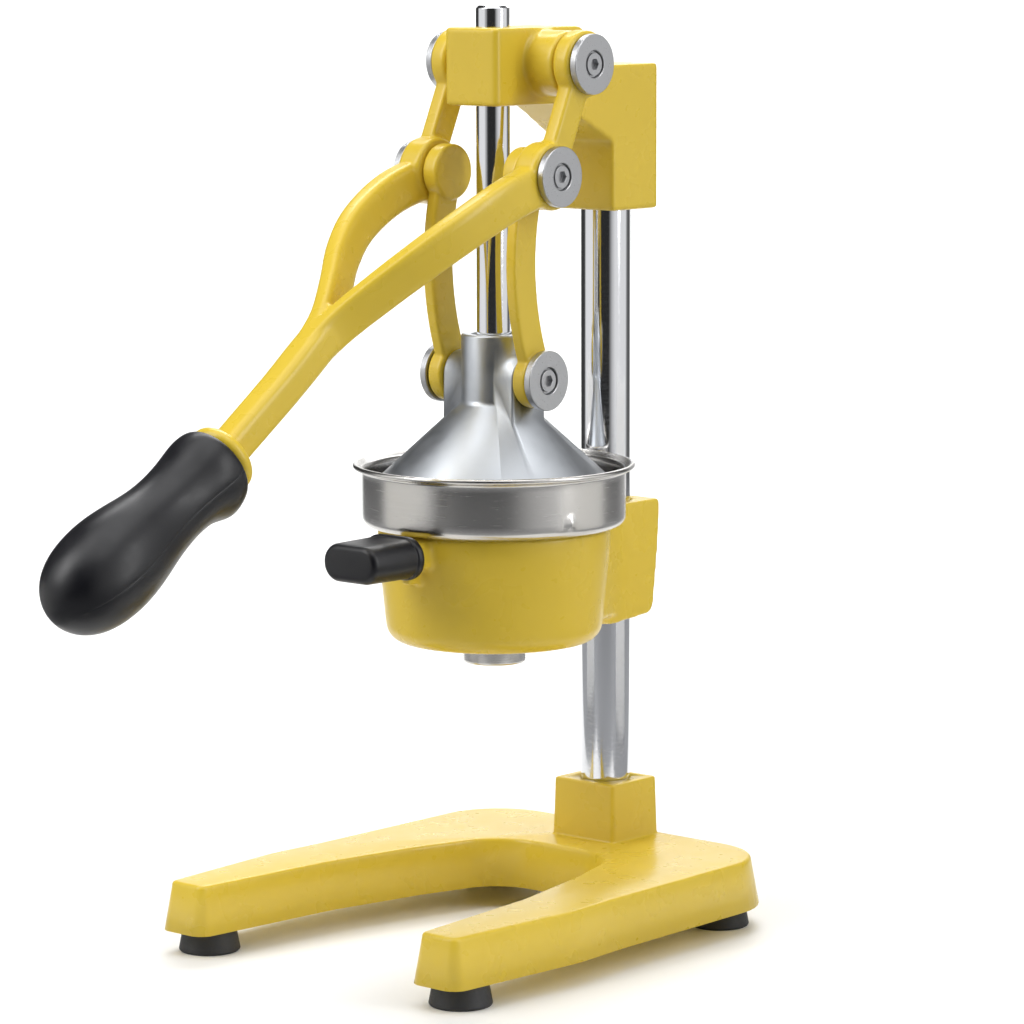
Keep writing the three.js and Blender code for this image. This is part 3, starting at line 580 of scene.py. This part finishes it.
bowlShape = {"radius": 50, "taper": 3.4, "wall": 4.5, "floor": 5, "cornerRadius": 8,
             "rise": 2.1, "clampHalfWidth": 17.2, "clampStart": 22, "clampCorner": 3.5,
             "flareAngle": 50, "flareRadius": 52, "neck": (9, 5.5), "tang": (8, 4),
             "tangLength": 21.5, "ribDrop": 13, "columnBore": 11.3, "screwHole": 3.3,
             "spoutHole": 13.8, "grain": 0.9, "rounds": 6}


def bowlFlare(s, low, top):
    # the bowl's wall swells out, hollow-sided, to meet its clamp
    wall, hw = s["radius"] - s["taper"] - 0.4, s["clampHalfWidth"] - 0.2
    angle = math.radians(s["flareAngle"])
    x, y = wall * math.sin(angle), wall * math.cos(angle)
    corner = (wall - hw * math.sin(angle)) / math.cos(angle)
    end = corner + s["flareRadius"] * math.tan(math.pi / 4 - angle / 2) + 1
    plan = flatShape([(-x, y, 0), (x, y, 0), (hw, corner, s["flareRadius"]), (hw, end, 0),
                      (-hw, end, 0), (-hw, corner, s["flareRadius"])], 10)
    return moved(raised(plan, [(top - low, 0)]), at(0, 0, low))


def bowlCasting():
    s = bowlShape
    low, top = bowlLow.z, potLow.z + s["rise"]
    foot = s["radius"] - s["taper"]
    corner = s["cornerRadius"]
    inner = s["radius"] - s["wall"]
    shell = turned([(0, low)] + arcPoints(foot - corner, low + corner, corner, -90, 0, 6)
                   + [(s["radius"], top - 8), (s["radius"], top), (inner, top),
                      (inner, top - 8)]
                   + arcPoints(inner - s["taper"] - 5, low + s["floor"] + 7, 5, 0, -75, 5)
                   + [(16.5, low + s["floor"]), (0, low + s["floor"])], 128)
    clampRear = bowlHigh.y - axisY
    clear = potHigh.x + 0.3
    side = flatShape([(30, low + 3, 0), (clear, low + 0.6, 4), (clampRear - 6.2, low + 2.6, 5),
                      (clampRear, bowlHigh.z, 3), (clear, bowlHigh.z, 1.5), (clear, top - 4, 1),
                      (30, top - 4, 0)], 5)
    hw = s["clampHalfWidth"]
    clamp = moved(raised(side, [(2 * hw + 8, 0)]), at(-hw - 4, 0, 0) @ sideView)
    start, corner = s["clampStart"], s["clampCorner"]
    plan = flatShape([(-hw, start, 0), (hw, start, 0), (hw, clampRear, corner),
                      (-hw, clampRear, corner)], 8)
    clamp = combined(clamp, [moved(raised(plan, [(80, 0)]), at(0, 0, low - 10))], "INTERSECT")
    flare = bowlFlare(s, low + 4.7, top - 4.3)
    grip = fromAxis(nodeMiddle("bowl_grip"))
    neckEnd = nodeBox("bowl_grip")[1].y - axisY
    (w, h), (tw, th) = s["neck"], s["tang"]
    neck = block((-w, neckEnd + 0.3, grip.z - h), (w, -40, grip.z + h), 2.6)
    tang = block((-tw, neckEnd - s["tangLength"], grip.z - th), (tw, -44, grip.z + th), 1.6)
    rib = block((-2.5, neckEnd + 5, grip.z - s["ribDrop"]), (2.5, -40, grip.z), 1)
    # the neck and the clamp reach inside the wall, so the hollow is cut again through both
    hollow = rodOf(inner - s["taper"] - 6, low + s["floor"] + 2, top + 8, 96)
    wideHollow = rodOf(inner, top - 4, top + 9, 128)
    spoutHole = rodOf(s["spoutHole"], low - 2, low + 12, 64)
    bore = moved(rodOf(s["columnBore"], low - 2, top + 12, 96), at(0, columnMiddle.y, 0))
    screwHole = setScrewHole("bowl_set_screw", s["screwHole"])
    return castSkin(shell, [clamp, flare, neck, tang, rib],
                    [hollow, wideHollow, spoutHole, bore, screwHole], s["grain"], s["rounds"])


addPiece("bowlBody", bowlCasting(), "stand", "yellow_enamel", ["bowl_casting"])
print("bowl made")


smallGripShape = {"width": 32, "height": 18.2, "length": 30, "lip": 3.4, "pocket": (8.3, 4.3),
                  "pocketDepth": 22.5}


def smallGrip():
    s = smallGripShape
    w, h = s["width"] / 2, s["height"] / 2
    grip = fromAxis(nodeMiddle("bowl_grip"))
    start = nodeBox("bowl_grip")[1].y - axisY
    levels = [(0.25, -0.25), (0.75, -0.25), (s["lip"] - 1.4, 0), (0.4, 0.3), (0.4, 0.4),
              (s["length"] - s["lip"] - 3.2, 0.3), (1.0, 0.25), (0.8, 0.5), (0.6, 0.8),
              (0.25, 1.0)]
    x, y, corner = w - 0.5, h - 0.5, h - 0.7
    bm = raised(flatShape([(x, -y, corner), (x, y, corner), (-x, y, corner), (-x, -y, corner)], 10),
                levels)
    moved(bm, at(0, start, grip.z) @ Matrix.Rotation(math.pi / 2, 4, "X"))
    w, h = s["pocket"]
    pocket = block((-w, start - s["pocketDepth"], grip.z - h), (w, start + 2, grip.z + h))
    return combined(bm, [pocket], "DIFFERENCE")


addPiece("smallGrip", smallGrip(), "stand", "black_plastic", ["bowl_grip"], 0.25, 40)


spoutShape = {"bore": 11, "radius": 13.5, "flange": 16, "flangeHeight": 1.2}


def spoutSleeve():
    s = spoutShape
    low, high = nodeBox("spout_sleeve")
    seat = high.z - s["flangeHeight"]
    lip = (s["radius"] - s["bore"]) / 2
    return turned([(s["bore"], low.z + 0.8)]
                  + arcPoints(s["bore"] + lip, low.z + lip, lip, 180, 360, 8)
                  + [(s["radius"], seat), (s["flange"], seat), (s["flange"], high.z),
                     (s["bore"], high.z)], 96, True)


addPiece("spoutSleeve", spoutSleeve(), "stand", "stainless_steel", ["spout_sleeve"], 0.3, 40)
print("small grip and spout made")


# Strainer pot and reamer.

potShape = {"radius": 56.5, "wall": 1.0, "step": 2.4, "stepRadius": 44.8, "rim": 4.0,
            "corner": 4.2, "bead": 1.15, "flare": 1.6, "dimpleAngle": -14, "dimpleHeight": 6.4,
            "dimpleRadius": 3.0, "dimpleDepth": 1.5,
            "drainRings": ((37.5, 44), (41.5, 48), (48.6, 56)), "drainRadius": 1.2}


def strainerPot():
    s = potShape
    low, high = potLow.z, potHigh.z
    r, w, step = s["radius"], s["wall"], s["stepRadius"]
    shelf = low + s["step"]
    corner, flare, bead = s["corner"], s["flare"], s["bead"]
    wallLow, wallTop = shelf + corner, high - corner
    wallRise = [(wallTop - wallLow) * k / 10 for k in range(1, 11)]
    outside = ([(0, low), (step - 1.2, low), (step - 0.3, low + 0.4), (step, low + 1.2),
                (step + 0.3, shelf - 0.4), (step + 1.2, shelf)]
               + arcPoints(r - corner, wallLow, corner, -90, 0, 7)
               + [(r, wallLow + rise) for rise in wallRise]
               + arcPoints(r + flare, wallTop, flare, 180, 105, 5))
    rim = arcPoints(r + s["rim"] - bead, high - bead, bead, -120, 120, 10)
    inside = (arcPoints(r + flare, wallTop, flare + w, 105, 180, 5)
              + [(r - w, wallTop - rise) for rise in wallRise]
              + arcPoints(r - corner, wallLow, corner - w, 0, -90, 7)
              + [(step + 1.2, shelf + w), (step - 0.2, shelf + 0.5), (step - w, low + 1.5),
                 (step - w - 0.6, low + w), (0, low + w)])
    bm = turned(outside + rim + inside, 216)
    # the small pip that is pressed out of the wall
    angle = math.radians(s["dimpleAngle"])
    centre = Vector((r * math.cos(angle), r * math.sin(angle), shelf + s["dimpleHeight"]))
    for vert in bm.verts:
        near = (vert.co - centre).length / s["dimpleRadius"]
        if near < 1 and vert.co.xy.length > r - 3:
            push = s["dimpleDepth"] * (1 - near ** 2) ** 2
            vert.co += Vector((math.cos(angle), math.sin(angle), 0)) * push
    return bm


def drainTools():
    tools = bmesh.new()
    hole = potShape["drainRadius"]
    for radius, count in potShape["drainRings"]:
        for k in range(count):
            turn = Matrix.Rotation(fullTurn * k / count, 4, "Z")
            bmesh.ops.create_cone(tools, cap_ends=True, segments=10, radius1=hole, radius2=hole,
                                  depth=12, matrix=turn @ at(radius, 0, potLow.z))
    return tools


addPiece("strainerPot", combined(strainerPot(), [drainTools()], "DIFFERENCE"), "stand",
         "stainless_steel", ["strainer_pot"])


reamerShape = {"flutes": 8, "radius": 35, "height": 36, "depth": 0.13}


def reamerCone():
    s = reamerShape
    low = nodeBox("reamer")[0].z
    r, h = s["radius"], s["height"]
    bm = turned([(0, 0), (r, 0), (r, 1.2), (r - 0.4, 1.7), (r * 0.95, 2), (r * 0.93, 3)]
                + [(r * (0.93 - 0.9 * t ** 1.12), 3 + (h - 3.6) * (t ** 0.9))
                   for t in (0.06, 0.15, 0.25, 0.35, 0.45, 0.55, 0.65, 0.75, 0.85, 0.93, 1)]
                + [(0, h)], 160)
    for vert in bm.verts:
        radius = vert.co.xy.length
        if vert.co.z > 2.5 and radius > 0.5:
            lobe = 1 - abs(math.cos(s["flutes"] * math.atan2(vert.co.y, vert.co.x) / 2))
            fade = min(1, (vert.co.z - 2.5) / 4) * min(1, radius / 10)
            vert.co.xy *= 1 - s["depth"] * lobe * fade
    return moved(bm, at(0, 0, low))


addPiece("reamerCone", reamerCone(), "stand", "stainless_steel", ["reamer"])
print("pot and reamer made")


# Head casting.

headShape = {"front": 14.8, "halfWidth": 14.7, "clampHalfWidth": 17.2, "bossRadius": 14,
             "blockBottom": 358, "bridgeStart": 28.3, "gussetLow": 340.6, "clampFront": 59.5,
             "clampTop": 373.8, "clampRear": 91.3, "rodBore": 7.9, "columnBore": 11.3,
             "columnStop": 7.5, "screwHole": 3.3, "pivotHole": 3.2, "neck": 23, "sweep": 30,
             "grain": 0.72, "rounds": 6}


def headCasting():
    s = headShape
    front, top, low = -s["front"], headHigh.z, headLow.z
    w, cw = s["halfWidth"], s["clampHalfWidth"]
    side = flatShape([(front, s["blockBottom"], 1.2), (s["bridgeStart"], s["blockBottom"], 3),
                      (s["clampFront"], s["gussetLow"], 4), (s["clampFront"], low, 1.5),
                      (s["clampRear"], low, 1.5), (s["clampRear"], s["clampTop"], 2.5),
                      (s["clampFront"] - 4, s["clampTop"], 4),
                      (s["clampFront"] - 19, top, 4), (front, top, 1.2)], 6)
    body = moved(raised(side, [(60, 0)]), at(-30, 0, 0) @ sideView)
    neck, sweep = s["clampFront"] - s["neck"], s["sweep"]
    plan = flatShape([(-w, front, 2.6), (w, front, 2.6), (w, neck, sweep),
                      (cw, s["clampFront"], sweep), (cw, s["clampRear"], 3),
                      (-cw, s["clampRear"], 3), (-cw, s["clampFront"], sweep),
                      (-w, neck, sweep)], 6)
    planBlock = moved(raised(plan, [(100, 0)]), at(0, 0, low - 8))
    body = combined(body, [planBlock], "INTERSECT")
    face = headHigh.x
    boss = turned([(0, -face), (s["bossRadius"] - 0.8, -face), (s["bossRadius"], 0.8 - face),
                   (s["bossRadius"], face - 0.8), (s["bossRadius"] - 0.8, face), (0, face)], 96)
    moved(boss, at(0, headPivot.y, headPivot.z) @ alongX)
    rodBore = rodOf(s["rodBore"], s["blockBottom"] - 30, top + 5, 64)
    columnBore = moved(rodOf(s["columnBore"], low - 5, s["clampTop"] - s["columnStop"], 96),
                       at(0, columnMiddle.y, 0))
    screwHole = setScrewHole("head_set_screw", s["screwHole"])
    pivotHoles = [moved(rodOf(s["pivotHole"], -18, 18, 24),
                        at(sign * (face - 1), headPivot.y, headPivot.z) @ alongX)
                  for sign in (1, -1)]
    return castSkin(body, [boss], [rodBore, columnBore, screwHole] + pivotHoles, s["grain"],
                    s["rounds"])


addPiece("headBody", headCasting(), "stand", "yellow_enamel", ["head_casting"])
print("head made")


# Lever casting and its grip.

leverShape = {"eyeRadius": 14.3, "sleeveHole": 6.3, "strapHeight": 12.5, "slope": 30,
              "reach": 164.7, "drop": 108.2, "collarRadius": 15, "collarWidth": 7, "tang": 7,
              "tangLength": 62, "grain": 0.7, "rounds": 6}
elbowInner = nodeBox("elbow_pivot_sleeve_right")[0].x
elbowOuter = nodeBox("elbow_pivot_sleeve_right")[1].x
headEyeInner = nodeBox("head_pivot_sleeve_right")[0].x
collarPlace = Vector((0, elbowPivot.y - leverShape["reach"], elbowPivot.z - leverShape["drop"]))
slope = math.radians(leverShape["slope"])
barDirection = Vector((0, -math.cos(slope), -math.sin(slope)))
onBar = at(*collarPlace) @ barDirection.to_track_quat("Z", "X").to_matrix().to_4x4()


def eye(radius, inner, outer, place, edge=1.2):
    bm = turned([(0, inner), (radius - edge, inner), (radius - edge * 0.3, inner + edge * 0.3),
                 (radius, inner + edge), (radius, outer - edge),
                 (radius - edge * 0.3, outer - edge * 0.3), (radius - edge, outer), (0, outer)], 96)
    return moved(bm, at(0, place.y, place.z) @ alongX)


def leverCasting():
    s = leverShape
    across = (elbowInner + elbowOuter) / 2
    y, z = elbowPivot.y, elbowPivot.z
    # middle line of one arm, from the elbow down to the bar, with its width and height, and the
    # same of the bar, from the fork to the collar
    arm = [(across, y + 2, z - 1, 11, 18.6), (across + 0.7, y - 24, z - 8.5, 11, 18.2),
           (across - 2.9, y - 48, z - 20, 10, 17.8), (across - 10.4, y - 66, z - 32, 9, 17.8),
           (across - 20, y - 81, z - 44.5, 8.2, 17.6), (across - 28.3, y - 96, z - 57, 7.8, 16.8),
           (across - 31.5, y - 110, z - 68, 7.4, 15.8)]
    bar = [(0, y - 92, z - 54.5, 12.4, 15), (0, y - 110, z - 68, 14.6, 15.6),
           (0, y - 126.8, z - 81, 14.6, 15.2), (0, y - 145.5, z - 94.5, 14.4, 15),
           (0, y - 161.5, z - 106, 14.2, 14.8)]
    shells = [sweptBar(smoothPath(bar, 5), 0.3)]
    for sign in (1, -1):
        strapAcross = (headEyeInner + elbowOuter) / 2
        strapWidth = elbowOuter - headEyeInner - 0.7
        strap = sweptBar([((strapAcross, y, z), strapWidth, s["strapHeight"]),
                          ((strapAcross, headPivot.y, headPivot.z), strapWidth,
                           s["strapHeight"])], 0.14)
        pieces = [sweptBar(smoothPath(arm, 6), 0.24), strap,
                  eye(s["eyeRadius"], headEyeInner, elbowOuter - 0.03, headPivot),
                  eye(s["eyeRadius"], elbowInner, elbowOuter, elbowPivot)]
        shells += pieces if sign > 0 else [mirrored(shell) for shell in pieces]
    r, cw = s["collarRadius"], s["collarWidth"]
    collar = turned([(0, -cw)] + arcPoints(r - cw / 2, -cw / 2, cw / 2, -90, 90, 8) + [(0, 0)], 96)
    shells.append(moved(collar, onBar))
    shells.append(moved(rodOf(s["tang"], -1, s["tangLength"], 48), onBar))
    holes = []
    for place in (headPivot, elbowPivot):
        for low, high in ((20, 50), (-50, -20)):
            holes.append(moved(rodOf(s["sleeveHole"], low, high, 48),
                               at(0, place.y, place.z) @ alongX))
    return castSkin(shells[0], shells[1:], holes, s["grain"], s["rounds"])


addPiece("leverBody", leverCasting(), "lever", "yellow_enamel", ["lever_casting"])
print("lever made")


gripShape = {"outline": [(0, 15), (0.3, 16.6), (1.6, 17.5), (4.5, 18), (9, 18), (14, 17.2),
                         (20, 16.3), (28, 15.8), (36, 16), (44, 17.1), (53, 19), (62, 20.4),
                         (70, 20.8), (78, 20.3), (85, 18.9), (91, 16.4), (96, 12.6), (99.4, 8),
                         (101, 3.6), (101.4, 0)],
             "bore": 7.3, "boreDepth": 62.3, "seamWidth": 0.3, "seamDepth": 0.25,
             "lip": 2.5, "lipMiddle": 9, "lipWidth": 6, "hollow": 1.0, "hollowMiddle": 22,
             "hollowWidth": 9}


def leverGrip():
    # a turned shape with a lip and a finger hollow under it, and the seam of its two-part mould
    s = gripShape
    profile = ([(0, s["boreDepth"]), (s["bore"], s["boreDepth"]), (s["bore"], 0)]
               + [(radius, height) for height, radius in s["outline"]])
    bm = turned(profile, 48)
    seam = [edge for edge in bm.edges
            if all(abs(v.co.x) < 0.01 and abs(v.co.y) > 9 for v in edge.verts)]
    bmesh.ops.bevel(bm, geom=seam, offset=s["seamWidth"], affect="EDGES", segments=2,
                    profile=0.5, material=-1, clamp_overlap=False)
    for vert in bm.verts:
        if vert.co.xy.length < 9:
            continue
        if abs(vert.co.x) < 0.01:
            vert.co.y -= math.copysign(s["seamDepth"], vert.co.y)
        under = max(0, -vert.co.x / vert.co.xy.length) ** 2
        swell = (s["lip"] * math.exp(-((vert.co.z - s["lipMiddle"]) / s["lipWidth"]) ** 2)
                 - s["hollow"] * math.exp(-((vert.co.z - s["hollowMiddle"])
                                            / s["hollowWidth"]) ** 2))
        vert.co.xy *= 1 + swell * under / vert.co.xy.length
    return moved(bm, onBar @ at(0, 0, 0.3))


grip = addPiece("leverGrip", leverGrip(), "lever", "black_plastic", ["lever_grip"])
rounding = grip.modifiers.new("rounding", "SUBSURF")
rounding.levels = 2
rounding.render_levels = 2
print("grip made")


# Links.

linkShape = {"width": 14, "thickness": 5.7, "bulge": 7, "eyeRadius": 12, "screwHole": 3.2,
             "sleeveHole": 6.3, "grain": 0.5, "rounds": 5}


def addLinks():
    s = linkShape
    topInner, topOuter = nodeBox("link_right")[0].x, elbowInner - 0.3
    lowInner = nodeBox("lower_pivot_sleeve_right")[0].x
    lowOuter = nodeBox("lower_pivot_sleeve_right")[1].x
    across = (lowInner + lowOuter) / 2 - 0.6
    drop = lowerPivot - elbowPivot
    stations = []
    for k in range(17):
        t = k / 16
        bow = -4 * s["bulge"] * t * (1 - t)
        stations.append(((across, elbowPivot.y + drop.y * t + bow,
                          elbowPivot.z - 4 + (drop.z + 8) * t), s["thickness"], s["width"]))
    for side in ("right", "left"):
        shells = [sweptBar(stations, 0.13), eye(s["eyeRadius"], topInner, topOuter, elbowPivot, 1),
                  eye(s["eyeRadius"], lowInner, lowOuter, lowerPivot, 1)]
        holes = [moved(rodOf(s["screwHole"], topInner + 1.8, topOuter + 4, 32),
                       at(0, elbowPivot.y, elbowPivot.z) @ alongX),
                 moved(rodOf(s["sleeveHole"], lowInner - 4, lowOuter + 4, 48),
                       at(0, lowerPivot.y, lowerPivot.z) @ alongX)]
        bm = castSkin(shells[0], shells[1:], holes, s["grain"], s["rounds"])
        if side == "left":
            mirrored(bm)
        addPiece("linkBar_" + side, bm, "link_" + side, "yellow_enamel", ["link_" + side])


addLinks()
print("links made")


# Pivot discs and socket screws.

discShape = {"radius": 12.75, "thickness": 3.3, "recess": 5.7, "recessDepth": 1.9, "bore": 3.1,
             "headRadius": 4.7, "headHeight": 1.2, "shank": 2.8, "socket": 2.6, "socketDepth": 2.0}


def addPivots():
    s = discShape
    pivots = {"head_pivot": ("stand", headPivot), "elbow_pivot": ("link", elbowPivot),
              "lower_pivot": ("link", lowerPivot)}
    for name, (body, place) in pivots.items():
        for side, sign in (("right", 1), ("left", -1)):
            rides = body if body == "stand" else body + "_" + side
            low, high = nodeBox(name + "_disc_" + side)
            seat = low.x if sign > 0 else -high.x
            outward = at(0, place.y, place.z) @ Matrix.Rotation(sign * math.pi / 2, 4, "Y")
            t, sink = s["thickness"], s["thickness"] - s["recessDepth"]
            disc = turned([(s["bore"], 0), (s["radius"], 0), (s["radius"], t), (s["recess"], t),
                           (s["recess"], sink), (s["bore"], sink)], 96, True)
            addPiece("steelDisc_" + name + "_" + side, moved(disc, outward @ at(0, 0, seat)),
                     rides, "zinc_steel", [name + "_disc_" + side], 0.45)
            low, high = nodeBox(name + "_screw_" + side)
            tip, top = (low.x, high.x) if sign > 0 else (-high.x, -low.x)
            under, shank = top - s["headHeight"], s["shank"]
            screw = turned([(0, tip), (shank - 0.5, tip), (shank, tip + 0.5), (shank, under),
                            (s["headRadius"], under), (s["headRadius"], top), (0, top)], 48)
            socket = bmesh.new()
            bmesh.ops.create_cone(socket, cap_ends=True, segments=6, radius1=s["socket"],
                                  radius2=s["socket"], depth=2 * s["socketDepth"],
                                  matrix=at(0, 0, top))
            screw = combined(screw, [socket], "DIFFERENCE")
            addPiece("socketScrew_" + name + "_" + side, moved(screw, outward), rides,
                     "zinc_steel", [name + "_screw_" + side], 0.2, 40)


addPivots()
print("pivots made")


# Press cone and guide rod.

coneShape = {"bell": 48.5, "wall": 3, "slope": 0.916, "hub": 13.9, "hubFoot": 10.8,
             "roof": 20.3, "lugFace": 19.9, "lugRadius": 10.5, "lugFoot": 25, "rodBore": 7.5,
             "mouth": 9.5, "mouthDepth": 5, "rodSeat": 13.5, "screwHole": 3.1, "lugStart": 8.6,
             "lugEdge": 1.2, "fillet": 4}


def pressCone():
    s = coneShape
    z = lowerPivot.z
    run = s["bell"] - s["hub"]
    lean = math.degrees(math.atan(s["slope"]))
    join, skirtTop = z - s["hubFoot"], z - s["hubFoot"] - run * s["slope"]
    low, high = coneLow.z, coneHigh.z
    inner = s["bell"] - s["wall"]
    innerLow = skirtTop + s["wall"] * s["slope"] - s["wall"] * math.hypot(1, s["slope"])
    roof = z - s["roof"]
    f = s["fillet"]
    reach = f * math.tan(math.radians(90 - lean) / 2)
    waist = arcPoints(s["hub"] + f, join + reach, f, 270 - lean, 180, 6)
    outside = ([(s["bell"] - 0.5, low), (s["bell"], low + 0.5), (s["bell"], skirtTop - 0.6),
                (s["bell"] - 0.4, skirtTop + 0.35)] + waist
               + [(s["hub"], high - 1), (s["hub"] - 0.3, high - 0.3), (s["hub"] - 1, high)])
    mouth, mouthLow = s["mouth"], high - s["mouthDepth"]
    bore, seat, hole = s["rodBore"], z - s["rodSeat"], s["screwHole"]
    inside = [(mouth + 0.5, high), (mouth, high - 0.5), (mouth, mouthLow), (bore, mouthLow - 1),
              (bore, seat), (hole, seat), (hole, roof),
              (inner - (roof - innerLow) / s["slope"], roof), (inner, innerLow),
              (inner, low + 0.5), (inner + 0.4, low)]
    body = turned(outside + inside, 192, True)
    r, foot = s["lugRadius"], s["lugFoot"]
    tab = flatShape([(-r, -foot, 0), (r, -foot, 0), (r, r, r - 0.1), (-r, r, r - 0.1)], 20)
    face, start, edge = s["lugFace"], s["lugStart"], s["lugEdge"]
    lugs = []
    for sign in (1, -1):
        lug = moved(raised(tab.copy(), [(face - start - edge, 0)] + roundOver(edge)),
                    at(start, 0, z) @ sideView)
        if sign < 0:
            mirrored(lug)
        pivotHole = moved(rodOf(hole, -6, 6, 32), at(sign * face, 0, z) @ alongX)
        lugs.append(combined(lug, [pivotHole], "DIFFERENCE"))
    # the lugs end at the funnel, so nothing of them shows inside the bell
    under = turned([(0, low - 20), (s["bell"] + 9, low - 20),
                    (s["bell"] + 9, skirtTop - 9 * s["slope"] - 1.5), (s["hub"], join - 1.5),
                    (0, join - 1.5)], 96)
    lugs = [combined(lug, [under.copy()], "DIFFERENCE") for lug in lugs]
    return combined(body, lugs, "UNION")


addPiece("pressBell", pressCone(), "press", "cast_aluminium", ["press_cone"],
         sharpAngle=35)


rodShape = {"chamfer": 1.2, "hole": 3.1, "holeDepth": 15}


def guideRod():
    s = rodShape
    radius, c = (rodHigh.x - rodLow.x) / 2, s["chamfer"]
    low, high, holeTop = rodLow.z, rodHigh.z, rodLow.z + s["holeDepth"]
    return turned([(0, holeTop), (s["hole"], holeTop), (s["hole"], low), (radius - c, low),
                   (radius, low + c), (radius, high - c), (radius - c, high), (0, high)], 96)


addPiece("guideRod", guideRod(), "press", "chrome", ["guide_rod"], 0.25)
print("press cone and rod made")


# Floor, back and light.

studio = {"paper": "#F2F2F1", "paperFront": -240, "paperBack": 2600, "cove": 1500,
          "wallTop": 4000, "paperWidth": 540, "paperSpread": 0.3,
          "table": "#919294", "tableRadius": 1500,
          "cardSides": (-40, 122), "cardDistance": 440, "cardWidth": 380, "cardHeight": 190}
# Lamps: compass angle, height in degrees, distance, width and length in metres, watts.
lamps = {"key": (-28, 38, 1.7, (0.8, 1.2), 13.5), "side": (108, 22, 1.8, (0.35, 1.5), 9),
         "top": (30, 80, 1.6, (1.5, 1.5), 13), "rim": (205, 38, 1.9, (0.7, 1.2), 6)}
wallLamp = {"behind": 3.2, "aim": 0.5, "height": 62, "distance": 2.4, "size": (2.0, 0.8),
            "power": 78}
# Light and dark round the press: compass angle, brightness.
roomLight = [(0, 0.12), (10, 0.03), (54, 0.03), (70, 0.6), (84, 0.9), (144, 0.9), (156, 0.2),
             (178, 0.06), (190, 0.6), (226, 0.6), (238, 0.05), (284, 0.05), (296, 0.95),
             (342, 0.95), (352, 0.4)]


def addPlate(name, bm, colour, roughness):
    moved(bm, toFrame)
    mesh = bpy.data.meshes.new(name)
    bm.to_mesh(mesh)
    bm.free()
    mesh.shade_smooth()
    mesh.materials.append(newMaterial(name, {"Base Color": linear(colour),
                                             "Roughness": roughness})[0])
    plate = bpy.data.objects.new(name, mesh)
    scene.collection.objects.link(plate)


def addStudio():
    # white paper that widens with the camera's view, on a plain table, and a low card each side
    s = studio
    cove = ([(s["paperFront"], 0), (0, 0)]
            + arcPoints(s["paperBack"], s["cove"], s["cove"], -90, 0, 24)
            + [(s["paperBack"] + s["cove"], s["wallTop"])])
    bm = wireOf([(-0.5, y, z) for y, z in cove])
    wide = bmesh.ops.extrude_edge_only(bm, edges=bm.edges[:])["geom"]
    bmesh.ops.translate(bm, vec=(1, 0, 0),
                        verts=[v for v in wide if isinstance(v, bmesh.types.BMVert)])
    for vert in bm.verts:
        vert.co.x *= s["paperWidth"] + s["paperSpread"] * vert.co.y
    moved(bm, Matrix.Rotation(math.radians(cameraSetup["azimuth"]), 4, "Z"))
    addPlate("paperSweep", bm, s["paper"], 0.6)
    addPlate("studioTable", rodOf(s["tableRadius"], -30, -2, 96), s["table"], 0.7)
    half = s["cardWidth"] / 2
    for i, azimuth in enumerate(s["cardSides"]):
        card = block((-half, -4, 0), (half, 4, s["cardHeight"]), 1)
        moved(card, Matrix.Rotation(math.radians(azimuth), 4, "Z")
              @ at(0, -s["cardDistance"], 0))
        addPlate(f"whiteCard_{i + 1}", card, s["paper"], 0.6)


def addSoftbox(name, azimuth, elevation, distance, size, power, target=(0, 0, 0.2)):
    light = bpy.data.lights.new(name, "AREA")
    light.shape = "RECTANGLE"
    light.size, light.size_y = size
    light.energy = power
    lamp = bpy.data.objects.new(name, light)
    turn, lift = math.radians(azimuth), math.radians(elevation)
    way = Vector((math.sin(turn) * math.cos(lift), -math.cos(turn) * math.cos(lift),
                  math.sin(lift)))
    lamp.matrix_world = (Matrix.Translation(Vector(target) + way * distance)
                         @ way.to_track_quat("Z", "Y").to_matrix().to_4x4())
    scene.collection.objects.link(lamp)


def addRoom():
    # a studio seen only in reflections: pale walls with dark gaps between them
    world = bpy.data.worlds.new("room")
    world.use_nodes = True
    tree = world.node_tree
    tree.nodes.clear()
    way = addNode(tree, "ShaderNodeTexCoord").outputs["Generated"]
    split = addNode(tree, "ShaderNodeSeparateXYZ", inputs={0: way})
    angle = addNode(tree, "ShaderNodeMath", {"operation": "ARCTAN2"}, {
        0: split.outputs["X"], 1: split.outputs["Y"]})
    share = addNode(tree, "ShaderNodeMapRange", inputs={
        "Value": angle.outputs[0], "From Min": -math.pi, "From Max": math.pi,
        "To Min": 1.0, "To Max": 0.0})
    ramp = addNode(tree, "ShaderNodeValToRGB", inputs={0: share.outputs["Result"]})
    stops = ramp.color_ramp.elements
    stops.remove(stops[1])
    for i, (compass, level) in enumerate(roomLight):
        stop = stops[0] if i == 0 else stops.new(compass / 360)
        stop.position = compass / 360
        stop.color = (level, level, level, 1)
    background = addNode(tree, "ShaderNodeBackground", inputs={"Color": ramp.outputs["Color"]})
    addNode(tree, "ShaderNodeOutputWorld", inputs={"Surface": background.outputs[0]})
    scene.world = world


def addLight():
    addRoom()
    for name, (azimuth, elevation, distance, size, power) in lamps.items():
        addSoftbox(name, azimuth, elevation, distance, size, power)
    w = wallLamp
    turn = math.radians(cameraSetup["azimuth"])
    target = (-w["behind"] * math.sin(turn), w["behind"] * math.cos(turn), w["aim"])
    addSoftbox("wall", cameraSetup["azimuth"], w["height"], w["distance"], w["size"], w["power"],
               target)
    scene.view_settings.view_transform = "Standard"


addStudio()
addLight()
print("studio made")
